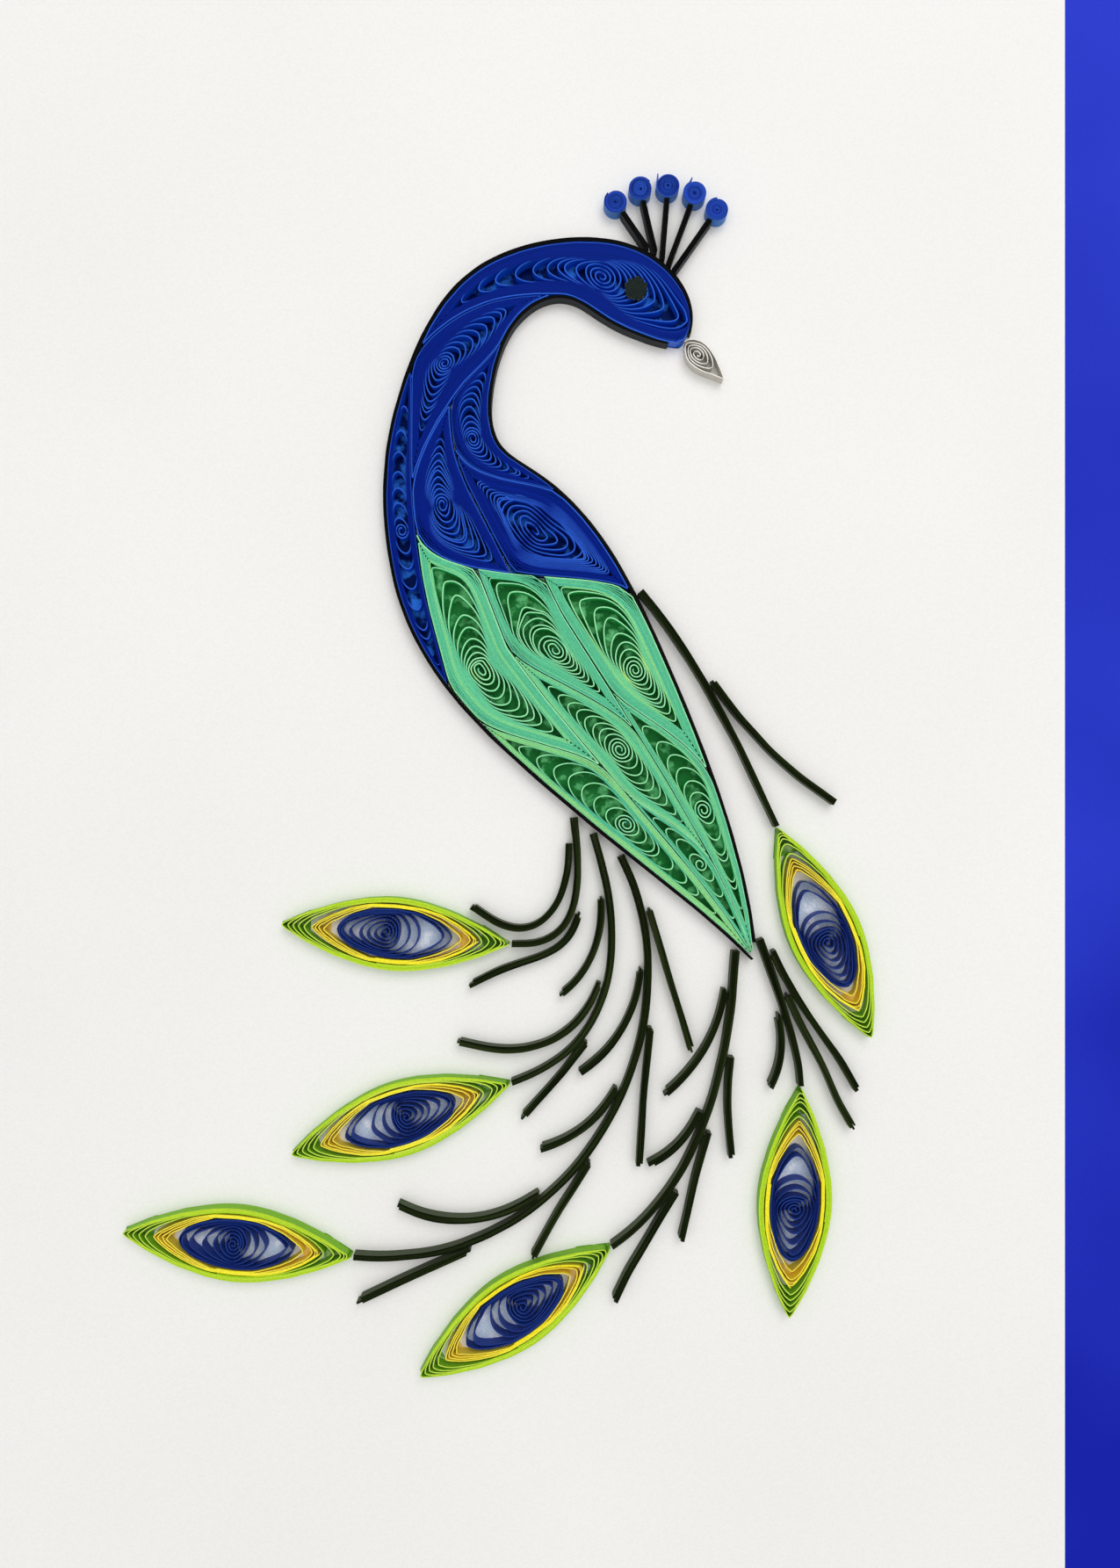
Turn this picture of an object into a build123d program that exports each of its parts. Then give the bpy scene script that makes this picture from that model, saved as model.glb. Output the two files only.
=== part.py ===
from build123d import *
from dataclasses import dataclass
import math
import os

# A quilled paper picture of a peacock: paper strips stood on edge, wound into shaped
# coils or laid as stems, and glued to a white card on a blue mount board.
# The picture lies on its back: +X to its right, +Y to its top, +Z out of its face.
# Millimetres throughout. The origin is the middle of the mount board's back.

# Card and mount board
CARD_WIDTH = 210.0
CARD_HEIGHT = 297.0
CARD_THICKNESS = 0.4
MOUNT_BORDER = 15.0
MOUNT_THICKNESS = 1.4

# Paper strips on edge, and the gap that glued neighbours keep
STRIP_HEIGHT = 3.0
CLEARANCE = 0.12

# The bird's middle line from beak to tail: x, y and the half width there
BIRD_LINE = [
    (33.6, 80.6, 0.0),
    (32.7, 82.6, 2.9),
    (29.4, 87.0, 5.8),
    (23.4, 91.4, 6.8),
    (12.5, 94.6, 4.9),
    (-0.5, 89.6, 5.6),
    (-8.3, 76.0, 7.2),
    (-10.0, 60.0, 10.3),
    (-4.0, 45.5, 16.8),
    (6.0, 29.5, 19.0),
    (18.0, 12.5, 15.8),
    (30.3, -4.5, 10.6),
    (40.0, -19.0, 5.2),
    (47.0, -32.0, 0.0),
]

# Seams between the blue coils, each from the throat or back edge to the crown or
# breast edge, as shares of the middle line. Below the nape two lanes lie side by side,
# and the last seam parts blue from green.
HEAD_SEAM = (0.165, 0.315)
NAPE_SEAM = (0.265, 0.43)
NECK_LANE_EDGE = 0.02
BACK_SEAM = (0.50, 0.385)
BLUE_SEAM = (0.63, 0.455)
SEAM_EASE = 0.75
HEAD_CORE_AT = -0.3

# The long blue coil down the breast: its two ends along the bird, and its width
BREAST_ENDS = (0.325, 0.60)
BREAST_WIDTH = 5.2
BREAST_ROUNDING = 0.8

# Green lanes, from -1 at the belly to 1 at the back, each with the seams that cross
# it, from its back side to its belly side
GREEN_LANES = [
    (-1.0, -0.32, [(0.76, 0.64)]),
    (-0.32, 0.30, [(0.75, 0.60), (0.90, 0.78)]),
    (0.30, 1.0, [(0.83, 0.69)]),
]

# Turns of a coil: how many part at each tip, the bare core, how far they bunch
# towards the tips, how square their ends are, how long against the half width there,
# and the room they leave at the core
TURN_COUNT = 3
LONG_COIL = 42.0
LONG_COIL_TURN_COUNT = 4
CORE_RADIUS = 0.55
CORE_ROOM = 4.8
GAP_WALL = 0.15
FIRST_TURN_WIDTH = 2.0
TURN_BUNCHING = 1.2
TURN_SQUARENESS = 3.0
TURN_ARM = 6.5
CORE_TURNS = 0.6
GAP_SHARE = 0.4
OUTER_TURN = (0.85, 0.45, -0.45, -0.85)
INNER_TURN = (-0.45, 0.45)
CHEVRON_ARM = 0.78

# Black strips round the bird
EDGE_THICKNESS = 0.5
EDGE_START = 0.012
EDGE_BACK_END = 0.985

# Eye, beak and crest
PUPIL_DIAMETER = 4.4
PUPIL_THICKNESS = 0.3
PUPIL_ALONG = 0.082
PUPIL_ACROSS = -0.05
BEAK_LENGTH = 10.8
BEAK_WIDTH = 4.9
BEAK_ALONG = 0.003
BEAK_HEADING = -44.0
BEAK_TAPER = 1.1
BEAK_CORE_AT = -0.25
BEAK_TURN_COUNT = 2
CREST_COIL_COUNT = 5
CREST_COIL_DIAMETER = 4.4
CREST_HOLE_DIAMETER = 0.8
CREST_ALONG = 0.077
CREST_REACH = 13.7
CREST_COIL_GAP = 0.7
CREST_MIDDLE_HEADING = 85.5
CREST_STEM_WIDTH = 1.0

# Eye plumes: three coils one inside the other. The lime and yellow ones have thin sides
# and pointed tips, and the navy one has some play towards the yellow tips.
EYE_LENGTH = 43.0
EYE_WIDTH = 13.6
LIME_BAND = 1.15
LIME_TIP_LENGTH = 5.9
YELLOW_BAND = 0.8
YELLOW_TIP_LENGTH = 3.6
NAVY_PLAY = 1.5
NAVY_CORE_RADIUS = 1.0
EYE_FULLNESS = 1.85
YELLOW_FULLNESS = 2.6
NAVY_ROOM_FULLNESS = 3.4
LIME_TURN_COUNT = 2
YELLOW_TURN_COUNT = 1
NAVY_TURN_COUNT = 2

# Stems, thick at the root and thin at the eye, and the barbs beside them
STEM_WIDTH = 1.5
STEM_TIP_WIDTH = 1.0
BARB_WIDTH = 1.2
BARB_LENGTH = 23.0
BARB_STEP = 0.5
BARB_SPREAD_START = 4.0
BARB_SPREAD_END = 34.0


@dataclass
class Plume:
    """One tail plume: its stem's two ends, its eye, and the barbs beside the stem."""

    root_along: float
    root_side: float
    root_heading: float
    root_handle: float
    eye: tuple
    eye_heading: float
    eye_handle: float
    core_shift: float
    barbs: list


# Plumes from the left round to the right. A barb has its share along the stem, its
# side of the stem and its size against the common length.
PLUMES = [
    Plume(0.775, -1.0, -82.0, 13.0, (-19.0, -27.5), 175.0, 13.0, 1.5, [
        (0.16, -1.0, 1.3), (0.55, 1.0, 1.1),
    ]),
    Plume(0.80, -1.0, -72.0, 24.0, (-18.0, -61.5), 198.0, 19.0, -1.0, [
        (0.22, -1.0, 0.9), (0.52, -1.0, 1.4), (0.72, 1.0, 0.8),
    ]),
    Plume(0.835, -1.0, -62.0, 34.0, (-48.0, -84.5), 174.0, 42.0, 0.5, [
        (0.10, 1.0, 1.2), (0.20, -1.0, 1.0), (0.31, 1.0, 1.1), (0.42, -1.0, 0.8),
        (0.55, 1.0, 0.9), (0.66, -1.0, 1.2), (0.80, 1.0, 1.0),
    ]),
    Plume(0.985, -1.0, -92.0, 16.0, (3.0, -97.0), 214.0, 22.0, -1.5, [
        (0.13, -1.0, 1.0), (0.32, 1.0, 0.8), (0.50, -1.0, 0.6), (0.55, 1.0, 0.9), (0.75, 1.0, 1.0),
    ]),
    Plume(0.985, 1.0, -70.0, 6.0, (54.5, -77.0), 267.0, 6.0, 1.0, [
        (0.10, 1.0, 1.3), (0.40, 1.0, 1.2), (0.5, -1.0, 0.6),
    ]),
    Plume(0.63, 1.0, -48.0, 16.0, (60.0, -27.5), 294.0, 12.0, 1.5, [
        (0.42, 1.0, 1.4),
    ]),
]

# The most a straight run of an outline leaves its curve, and the samples on a side
OUTLINE_TOLERANCE = 0.9 * CLEARANCE
SAMPLE_COUNT = 60
DISC_CORNER_COUNT = 12
HOLE_CORNER_COUNT = 6

CARD_TOP = MOUNT_THICKNESS + CARD_THICKNESS
MOUNT_WIDTH = CARD_WIDTH + 2.0 * MOUNT_BORDER
MOUNT_HEIGHT = CARD_HEIGHT + 2.0 * MOUNT_BORDER


def blend(first, second, share):
    """The point at a share of the way from one point to another."""
    return tuple(a + (b - a) * share for a, b in zip(first, second))


def polar(heading, length=1.0):
    """A step of a length at a heading in degrees."""
    angle = math.radians(heading)
    return (length * math.cos(angle), length * math.sin(angle))


def moved(point, heading, distance):
    """A point moved a distance at a heading."""
    dx, dy = polar(heading, distance)
    return (point[0] + dx, point[1] + dy)


def even_points(points, count):
    """The same run of points, spaced evenly into a number of steps."""
    travelled = [0.0]
    for before, after in zip(points, points[1:]):
        travelled.append(travelled[-1] + math.dist(before, after))
    spaced = []
    leg = 0
    for step in range(count + 1):
        target = travelled[-1] * step / count
        while leg < len(points) - 2 and travelled[leg + 1] < target:
            leg += 1
        length = travelled[leg + 1] - travelled[leg]
        share = (target - travelled[leg]) / length if length else 0.0
        spaced.append(blend(points[leg], points[leg + 1], min(share, 1.0)))
    return spaced


def thinned(points, tolerance=OUTLINE_TOLERANCE):
    """The run of points without those that lie on the line between others."""
    if len(points) < 3:
        return points
    (x0, y0), (x1, y1) = points[0], points[-1]
    length = math.hypot(x1 - x0, y1 - y0)
    worst, where = 0.0, 0
    for index, (x, y) in enumerate(points[1:-1], start=1):
        if length > tolerance:
            off = abs((x1 - x0) * (y - y0) - (y1 - y0) * (x - x0)) / length
        else:
            off = math.hypot(x - x0, y - y0)
        if off > worst:
            worst, where = off, index
    if worst <= tolerance:
        return [points[0], points[-1]]
    return thinned(points[: where + 1], tolerance)[:-1] + thinned(points[where:], tolerance)


def standing(outline, holes=(), base=CARD_TOP, height=STRIP_HEIGHT):
    """A closed outline with holes in it, stood up to a height."""
    outer = Wire.make_polygon([Vector(x, y, base) for x, y in outline], close=True)
    inner = [Wire.make_polygon([Vector(x, y, base) for x, y in hole], close=True) for hole in holes]
    return Solid.extrude(Face(outer, inner), Vector(0, 0, height))


class Shape:
    """A coil's outline: a middle line from tip to tip with a width across it."""

    def __init__(self, low_side, high_side):
        lows = even_points(low_side, SAMPLE_COUNT)
        highs = even_points(high_side, SAMPLE_COUNT)
        self.middles = [blend(low, high, 0.5) for low, high in zip(lows, highs)]
        self.across = [
            ((high[0] - low[0]) / 2.0, (high[1] - low[1]) / 2.0) for low, high in zip(lows, highs)
        ]
        self.fullest = max(math.hypot(*across) for across in self.across)
        self.length = sum(math.dist(*leg) for leg in zip(self.middles, self.middles[1:]))

    def sample(self, values, at):
        """A sampled value at a place from -1 at one tip to 1 at the other."""
        place = (min(max(at, -1.0), 1.0) + 1.0) / 2.0 * SAMPLE_COUNT
        index = min(int(place), SAMPLE_COUNT - 1)
        return blend(values[index], values[index + 1], place - index)

    def half(self, at):
        """Half the width at a place."""
        return math.hypot(*self.sample(self.across, at))

    def point(self, at, off):
        """The point a distance off the middle line at a place."""
        x, y = self.sample(self.middles, at)
        dx, dy = self.sample(self.across, at)
        size = math.hypot(dx, dy) or 1.0
        return (x + dx / size * off, y + dy / size * off)

    def reach(self, depth, end):
        """How far towards a tip the half width still holds a depth."""
        at = 1.0
        while at > 0.05 and self.half(end * at) < depth:
            at -= 0.005
        return at

    def outline(self, inset, tolerance=OUTLINE_TOLERANCE):
        """The outline, drawn in from the full width by an inset."""
        first = -self.reach(inset, -1.0)
        last = self.reach(inset, 1.0)
        places = [first + (last - first) * step / SAMPLE_COUNT for step in range(SAMPLE_COUNT + 1)]
        offs = [max(self.half(at) - inset, 0.0) for at in places]
        offs[0] = offs[-1] = 0.0
        high = [self.point(at, off) for at, off in zip(places, offs)]
        low = [self.point(at, -off) for at, off in zip(places, offs)]
        return thinned(high, tolerance)[:-1] + thinned(low[::-1], tolerance)[:-1]

    def tip_gap(self, end, outer, inner, wall, fill=1.0, core_at=0.0):
        """The crescent between two turns at a tip, in a share of what the wall leaves."""
        points = []
        for reach, shares in ((outer, OUTER_TURN), (inner, INNER_TURN)):
            tip = end * reach
            arm = min(abs(tip - core_at), TURN_ARM * self.half(tip) / (self.length / 2.0))
            for share in shares:
                at = tip - end * arm * (1.0 - (1.0 - share * share) ** (1.0 / TURN_SQUARENESS))
                points.append(self.point(at, share * fill * max(self.half(at) - wall, 0.0)))
        return points

    def tip_gaps(self, count, inset, core_share, core_at):
        """The crescents between the turns at both tips, and down to the core."""
        gaps = []
        wall = inset + GAP_WALL
        for end in (-1.0, 1.0):
            far = self.reach(wall + FIRST_TURN_WIDTH / 2.0, end)
            near = core_at * end + core_share
            reaches = [
                near + (far - near) * (1.0 - step / (count + CORE_TURNS)) ** TURN_BUNCHING
                for step in range(count + 1)
            ]
            for index in range(count):
                outer = reaches[index]
                inner = outer - (outer - reaches[index + 1]) * GAP_SHARE
                fill = 1.0 - index / (count + CORE_TURNS)
                gaps.append(self.tip_gap(end, outer, inner, wall, fill, core_at))
        return gaps


def bird_point(line, along, across, outward=0.0):
    """The point at a share along the bird and -1 to 1 across it, moved outward."""
    at = line.position_at(along)
    heading = line.tangent_at(along)
    size = math.hypot(heading.X, heading.Y) or 1.0
    off = at.Z * across + math.copysign(outward, across)
    return (at.X - heading.Y / size * off, at.Y + heading.X / size * off)


def breast_across(line, along):
    """Where the breast coil's inner side lies across the bird."""
    start, end = BREAST_ENDS
    share = (along - start) / (end - start)
    if not 0.0 < share < 1.0:
        return -1.0
    width = BREAST_WIDTH * math.sin(math.pi * share) ** BREAST_ROUNDING
    return -1.0 + width / line.position_at(along).Z


def body_point(line, along, across):
    """The point at a share along the bird and -1 to 1 beyond the breast coil."""
    low = breast_across(line, along)
    return bird_point(line, along, low + (across + 1.0) / 2.0 * (1.0 - low))


class Seam:
    """A seam that eases across a lane from its high side to its low side."""

    def __init__(self, ends, low=-1.0, high=1.0):
        self.high_along, self.low_along = ends
        self.low, self.high = low, high

    def along(self, across):
        """The share along the bird where the seam crosses a place across it."""
        share = (across - self.low) / (self.high - self.low)
        eased = 0.5 - math.sin(math.asin(min(max(1.0 - 2.0 * share, -1.0), 1.0)) / 3.0)
        blended = (1.0 - SEAM_EASE) * share + SEAM_EASE * eased
        return self.low_along + (self.high_along - self.low_along) * blended

    def points(self, line, low, high):
        """The seam from the low side of a lane to its high side."""
        points = []
        for step in range(SAMPLE_COUNT + 1):
            share = 0.5 - 0.5 * math.cos(math.pi * step / SAMPLE_COUNT)
            across = low + (high - low) * share
            points.append(body_point(line, self.along(across), across))
        return points


def edge_points(line, across, start, end):
    """The run along a lane's side between two seams."""
    steps = SAMPLE_COUNT
    return [body_point(line, start + (end - start) * step / steps, across) for step in range(steps + 1)]


def seam_cell(line, first, second, low, high):
    """The coil shape between two seams of a lane, from its first tip to its last."""
    low_side = edge_points(line, low, first.along(low), second.along(low))
    high_side = edge_points(line, high, first.along(high), second.along(high))
    start = first.points(line, low, high)
    end = second.points(line, low, high)
    if first.along(high) < first.along(low):
        low_side = start[::-1] + low_side
    else:
        high_side = start + high_side
    if second.along(high) < second.along(low):
        high_side = high_side + end[::-1]
    else:
        low_side = low_side + end
    return Shape(low_side, high_side)


def lane_shapes(line, low, high, seams):
    """The coil shapes between the seams of one lane."""
    return [seam_cell(line, first, second, low, high) for first, second in zip(seams, seams[1:])]


def blue_shapes(line):
    """The blue coils' shapes: head, nape, throat, back, neck and then the breast's."""
    beak, head, nape, border = (Seam(ends) for ends in ((0.0, 0.0), HEAD_SEAM, NAPE_SEAM, BLUE_SEAM))
    back = Seam(BACK_SEAM, NECK_LANE_EDGE, 1.0)
    shapes = lane_shapes(line, -1.0, 1.0, [beak, head, nape])
    shapes += lane_shapes(line, NECK_LANE_EDGE, 1.0, [nape, back, border])
    shapes += lane_shapes(line, -1.0, NECK_LANE_EDGE, [nape, border])
    start, end = BREAST_ENDS
    alongs = [start + (end - start) * step / SAMPLE_COUNT for step in range(SAMPLE_COUNT + 1)]
    outer = [bird_point(line, along, -1.0) for along in alongs]
    inner = [bird_point(line, along, breast_across(line, along)) for along in alongs]
    return shapes + [Shape(outer, inner)]


def green_shapes(line):
    """The green coils' shapes, lane by lane from the belly."""
    border = Seam(BLUE_SEAM)
    shapes = []
    for low, high, cuts in GREEN_LANES:
        seams = [border] + [Seam(cut, low, high) for cut in cuts + [(1.0, 1.0)]]
        shapes += lane_shapes(line, low, high, seams)
    return shapes


def mirrored_shape(origin, heading, profile):
    """A straight shape laid at a heading, from how wide it is along its middle line."""
    ahead = polar(heading)
    sides = []
    for side in (-1.0, 1.0):
        points = []
        for forward, half in profile:
            x = origin[0] + ahead[0] * forward - ahead[1] * half * side
            y = origin[1] + ahead[1] * forward + ahead[0] * half * side
            points.append((x, y))
        sides.append(points)
    return Shape(*sides)


def lens(middle, heading, length, width, fullness):
    """A long shape with pointed ends."""
    profile = []
    for step in range(SAMPLE_COUNT + 1):
        at = 2.0 * step / SAMPLE_COUNT - 1.0
        profile.append((at * length / 2.0, width / 2.0 * (1.0 - abs(at) ** fullness)))
    return mirrored_shape(middle, heading, profile)


def oval(middle, heading, length, width):
    """A long round shape."""
    turns = [math.pi * step / SAMPLE_COUNT for step in range(SAMPLE_COUNT + 1)]
    profile = [(-math.cos(turn) * length / 2.0, math.sin(turn) * width / 2.0) for turn in turns]
    return mirrored_shape(middle, heading, profile)


def teardrop(start, heading, length, width):
    """A drop with its round end at the start and its point ahead."""
    shares = [0.5 - 0.5 * math.cos(math.pi * step / SAMPLE_COUNT) for step in range(SAMPLE_COUNT + 1)]
    swells = [math.sqrt(share) * (1.0 - share) ** BEAK_TAPER for share in shares]
    profile = [(share * length, width / 2.0 * swell / max(swells)) for share, swell in zip(shares, swells)]
    return mirrored_shape(start, heading, profile)


def shaped_coil(shape, inset, gaps, core_radius=CORE_RADIUS, core_at=0.0):
    """A coil pinched to a shape, solid where its turns touch along the sides."""
    core_share = CORE_ROOM * core_radius / shape.length
    holes = shape.tip_gaps(gaps, inset, core_share, core_at)
    holes.append(round_outline(shape.point(core_at, 0.0), 2.0 * core_radius, HOLE_CORNER_COUNT))
    return standing(shape.outline(inset), holes)


def body_coil(shape, core_at=0.0):
    """A coil of the bird's body, with one more row of gaps where it is long."""
    gaps = LONG_COIL_TURN_COUNT if shape.length > LONG_COIL else TURN_COUNT
    return shaped_coil(shape, CLEARANCE / 2.0, gaps, CORE_RADIUS, core_at)


def chevron(shape, room, end, share):
    """The three corners of a turn's tip, at a share of the way from a shape to its room."""
    corners = []
    for at, side in ((CHEVRON_ARM, 1.0), (1.0, 0.0), (CHEVRON_ARM, -1.0)):
        outer = shape.point(end * at, side * shape.half(end * at))
        inner = room.point(end * at, side * room.half(end * at))
        corners.append(blend(outer, inner, share))
    return corners


def ring_coil(shape, room, gaps):
    """A pinched coil wound round a room for another one, its turns parted at the tips."""
    holes = [room.outline(0.0)]
    step = 1.0 / (gaps + 1.0)
    for end in (-1.0, 1.0):
        for index in range(1, gaps + 1):
            outer = chevron(shape, room, end, (index - GAP_SHARE / 2.0) * step)
            inner = chevron(shape, room, end, (index + GAP_SHARE / 2.0) * step)
            holes.append(outer + inner[::-1])
    return standing(shape.outline(0.0), holes)


def band(path, widths):
    """The outline of a strip bundle along a path, with its width at each point."""
    left, right = [], []
    for index, (x, y) in enumerate(path):
        before = path[max(index - 1, 0)]
        after = path[min(index + 1, len(path) - 1)]
        size = math.dist(before, after)
        dx, dy = (after[0] - before[0]) / size, (after[1] - before[1]) / size
        half = widths[index] / 2.0
        left.append((x - dy * half, y + dx * half))
        right.append((x + dy * half, y - dx * half))
    return thinned(left) + thinned(right[::-1])


def edge_strip(line, side, start, end):
    """A black strip along one side of the bird."""
    steps = 2 * SAMPLE_COUNT
    alongs = [start + (end - start) * step / steps for step in range(steps + 1)]
    inner = [bird_point(line, along, side, CLEARANCE) for along in alongs]
    outer = [bird_point(line, along, side, CLEARANCE + EDGE_THICKNESS) for along in alongs]
    return standing(thinned(inner) + thinned(outer[::-1]))


def stem_path(line, plume):
    """A plume's stem from beside the bird's black edge to the eye's near tip."""
    outward = 2.0 * CLEARANCE + EDGE_THICKNESS + STEM_WIDTH / 2.0
    root = bird_point(line, plume.root_along, plume.root_side, outward)
    tip = moved(plume.eye, plume.eye_heading, -EYE_LENGTH / 2.0 - CLEARANCE)
    handles = [
        root,
        moved(root, plume.root_heading, plume.root_handle),
        moved(tip, plume.eye_heading, -plume.eye_handle),
        tip,
    ]
    path = []
    for step in range(SAMPLE_COUNT + 1):
        t = step / SAMPLE_COUNT
        weights = ((1 - t) ** 3, 3 * (1 - t) ** 2 * t, 3 * (1 - t) * t * t, t ** 3)
        x = sum(weight * handle[0] for weight, handle in zip(weights, handles))
        y = sum(weight * handle[1] for weight, handle in zip(weights, handles))
        path.append((x, y))
    return even_points(path, SAMPLE_COUNT)


def stem_width(share):
    """A stem's width at a share of its length."""
    return STEM_WIDTH + (STEM_TIP_WIDTH - STEM_WIDTH) * share


def barb_path(path, barb):
    """A barb that starts beside its stem and then parts from it."""
    share, side, size = barb
    headings = []
    for before, after in zip(path, path[1:]):
        headings.append(math.degrees(math.atan2(after[1] - before[1], after[0] - before[0])))
    start = int(share * SAMPLE_COUNT)
    off = stem_width(share) / 2.0 + BARB_WIDTH / 2.0 + CLEARANCE
    point = moved(path[start], headings[start] + 90.0 * side, off)
    leg = math.dist(path[0], path[1])
    steps = round(BARB_LENGTH * size / BARB_STEP)
    points = [point]
    for step in range(steps):
        place = min(start + int(step * BARB_STEP / leg), SAMPLE_COUNT - 1)
        spread = BARB_SPREAD_START + (BARB_SPREAD_END - BARB_SPREAD_START) * step / steps
        point = moved(point, headings[place] + side * spread, BARB_STEP)
        points.append(point)
    return points


def board(width, height, base, thickness):
    """A flat rectangular sheet on the middle of the picture."""
    return Pos(0, 0, base) * Box(width, height, thickness, align=(Align.CENTER, Align.CENTER, Align.MIN))


def crest_stem(line, along, middle):
    """A straight crest stem from the crown to its coil's rim."""
    root_out = 2.0 * CLEARANCE + EDGE_THICKNESS
    foot = bird_point(line, along, -1.0, root_out)
    beside = bird_point(line, along + CREST_STEM_WIDTH / line.length, -1.0, root_out)
    crown = math.atan2(beside[1] - foot[1], beside[0] - foot[0])
    slant = math.atan2(middle[1] - foot[1], middle[0] - foot[0]) - crown
    distance = math.dist(middle, foot)
    lift = abs(CREST_STEM_WIDTH / 2.0 / math.tan(slant))
    rim = CREST_COIL_DIAMETER / 2.0 + CLEARANCE
    ends = [blend(foot, middle, lift / distance), blend(foot, middle, 1.0 - rim / distance)]
    return standing(band(ends, [CREST_STEM_WIDTH] * 2))


def round_outline(middle, diameter, corners):
    """The corners of a round outline."""
    return [moved(middle, 360.0 * corner / corners, diameter / 2.0) for corner in range(corners)]


def bird_pieces(line):
    """The bird's coils, black edges, pupil and beak."""
    pieces = {}
    for index, shape in enumerate(blue_shapes(line), start=1):
        pieces[f"blue_coil_{index}"] = body_coil(shape, HEAD_CORE_AT if index == 1 else 0.0)
    for index, shape in enumerate(green_shapes(line), start=1):
        pieces[f"green_coil_{index}"] = body_coil(shape)
    pieces["edge_strip_belly"] = edge_strip(line, -1.0, EDGE_START, 1.0)
    pieces["edge_strip_back"] = edge_strip(line, 1.0, EDGE_START, EDGE_BACK_END)
    pupil = round_outline(bird_point(line, PUPIL_ALONG, PUPIL_ACROSS), PUPIL_DIAMETER, DISC_CORNER_COUNT)
    pieces["pupil"] = standing(pupil, (), CARD_TOP + STRIP_HEIGHT, PUPIL_THICKNESS)
    start = bird_point(line, BEAK_ALONG, -1.0, 2.0 * CLEARANCE)
    beak = teardrop(start, BEAK_HEADING, BEAK_LENGTH, BEAK_WIDTH)
    pieces["beak_coil"] = shaped_coil(beak, 0.0, BEAK_TURN_COUNT, CORE_RADIUS, BEAK_CORE_AT)
    return pieces


def crest_pieces(line):
    """The crest's tight coils in a fan, and their stems."""
    root = bird_point(line, CREST_ALONG, -1.0, 2.0 * CLEARANCE + EDGE_THICKNESS)
    spacing = CREST_COIL_DIAMETER + CREST_COIL_GAP
    spread = math.degrees(2.0 * math.asin(spacing / 2.0 / CREST_REACH))
    pieces = {}
    stems = []
    for index in range(CREST_COIL_COUNT):
        place = index - (CREST_COIL_COUNT - 1) / 2.0
        middle = moved(root, CREST_MIDDLE_HEADING - place * spread, CREST_REACH)
        disc = round_outline(middle, CREST_COIL_DIAMETER, DISC_CORNER_COUNT)
        hole = round_outline(middle, CREST_HOLE_DIAMETER, HOLE_CORNER_COUNT)
        pieces[f"crest_coil_{index + 1}"] = standing(disc, [hole])
        along = CREST_ALONG - place * (CREST_STEM_WIDTH + CLEARANCE) / line.length
        stems.append(crest_stem(line, along, middle))
    pieces["crest_stems"] = Compound(children=stems)
    return pieces


def eye_coils(plume):
    """A plume's lime, yellow and navy coils, each in the room of the one round it."""
    place = (plume.eye, plume.eye_heading)
    gap = 2.0 * CLEARANCE
    yellow_length = EYE_LENGTH - 2.0 * LIME_TIP_LENGTH
    yellow_width = EYE_WIDTH - 2.0 * (LIME_BAND + CLEARANCE)
    navy_room_length = yellow_length - 2.0 * YELLOW_TIP_LENGTH
    navy_length = navy_room_length - 2.0 * NAVY_PLAY
    navy_width = yellow_width - 2.0 * (YELLOW_BAND + CLEARANCE)
    lime = lens(*place, EYE_LENGTH, EYE_WIDTH, EYE_FULLNESS)
    lime_room = lens(*place, yellow_length + 2.0 * gap, yellow_width + gap, YELLOW_FULLNESS)
    yellow = lens(*place, yellow_length, yellow_width, YELLOW_FULLNESS)
    yellow_room = lens(*place, navy_room_length, navy_width + gap, NAVY_ROOM_FULLNESS)
    navy = oval(*place, navy_length, navy_width)
    core_at = plume.core_shift / (navy_length / 2.0)
    return {
        "lime": ring_coil(lime, lime_room, LIME_TURN_COUNT),
        "yellow": ring_coil(yellow, yellow_room, YELLOW_TURN_COUNT),
        "navy": shaped_coil(navy, 0.0, NAVY_TURN_COUNT, NAVY_CORE_RADIUS, core_at),
    }


def plume_pieces(line):
    """Each plume's three coils, its stem and its barbs."""
    pieces = {}
    for index, plume in enumerate(PLUMES, start=1):
        for colour, coil in eye_coils(plume).items():
            pieces[f"plume_{index}_{colour}"] = coil
        path = stem_path(line, plume)
        widths = [stem_width(step / SAMPLE_COUNT) for step in range(SAMPLE_COUNT + 1)]
        pieces[f"plume_{index}_stem"] = standing(band(path, widths))
        strips = []
        for barb in plume.barbs:
            points = barb_path(path, barb)
            strips.append(standing(band(points, [BARB_WIDTH] * len(points))))
        pieces[f"plume_{index}_barbs"] = Compound(children=strips)
    return pieces


def make_pieces():
    """Every piece of the picture by its name."""
    line = Spline(BIRD_LINE)
    pieces = {
        "mount_board": board(MOUNT_WIDTH, MOUNT_HEIGHT, 0.0, MOUNT_THICKNESS),
        "white_card": board(CARD_WIDTH, CARD_HEIGHT, MOUNT_THICKNESS, CARD_THICKNESS),
    }
    pieces.update(bird_pieces(line))
    pieces.update(crest_pieces(line))
    pieces.update(plume_pieces(line))
    return pieces


os.makedirs("parts", exist_ok=True)
for name, piece in make_pieces().items():
    export_step(piece, f"parts/{name}.step")
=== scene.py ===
import logging
import math
from collections.abc import Sequence
from dataclasses import dataclass, field
from enum import Enum, IntEnum
from typing import ClassVar

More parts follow.
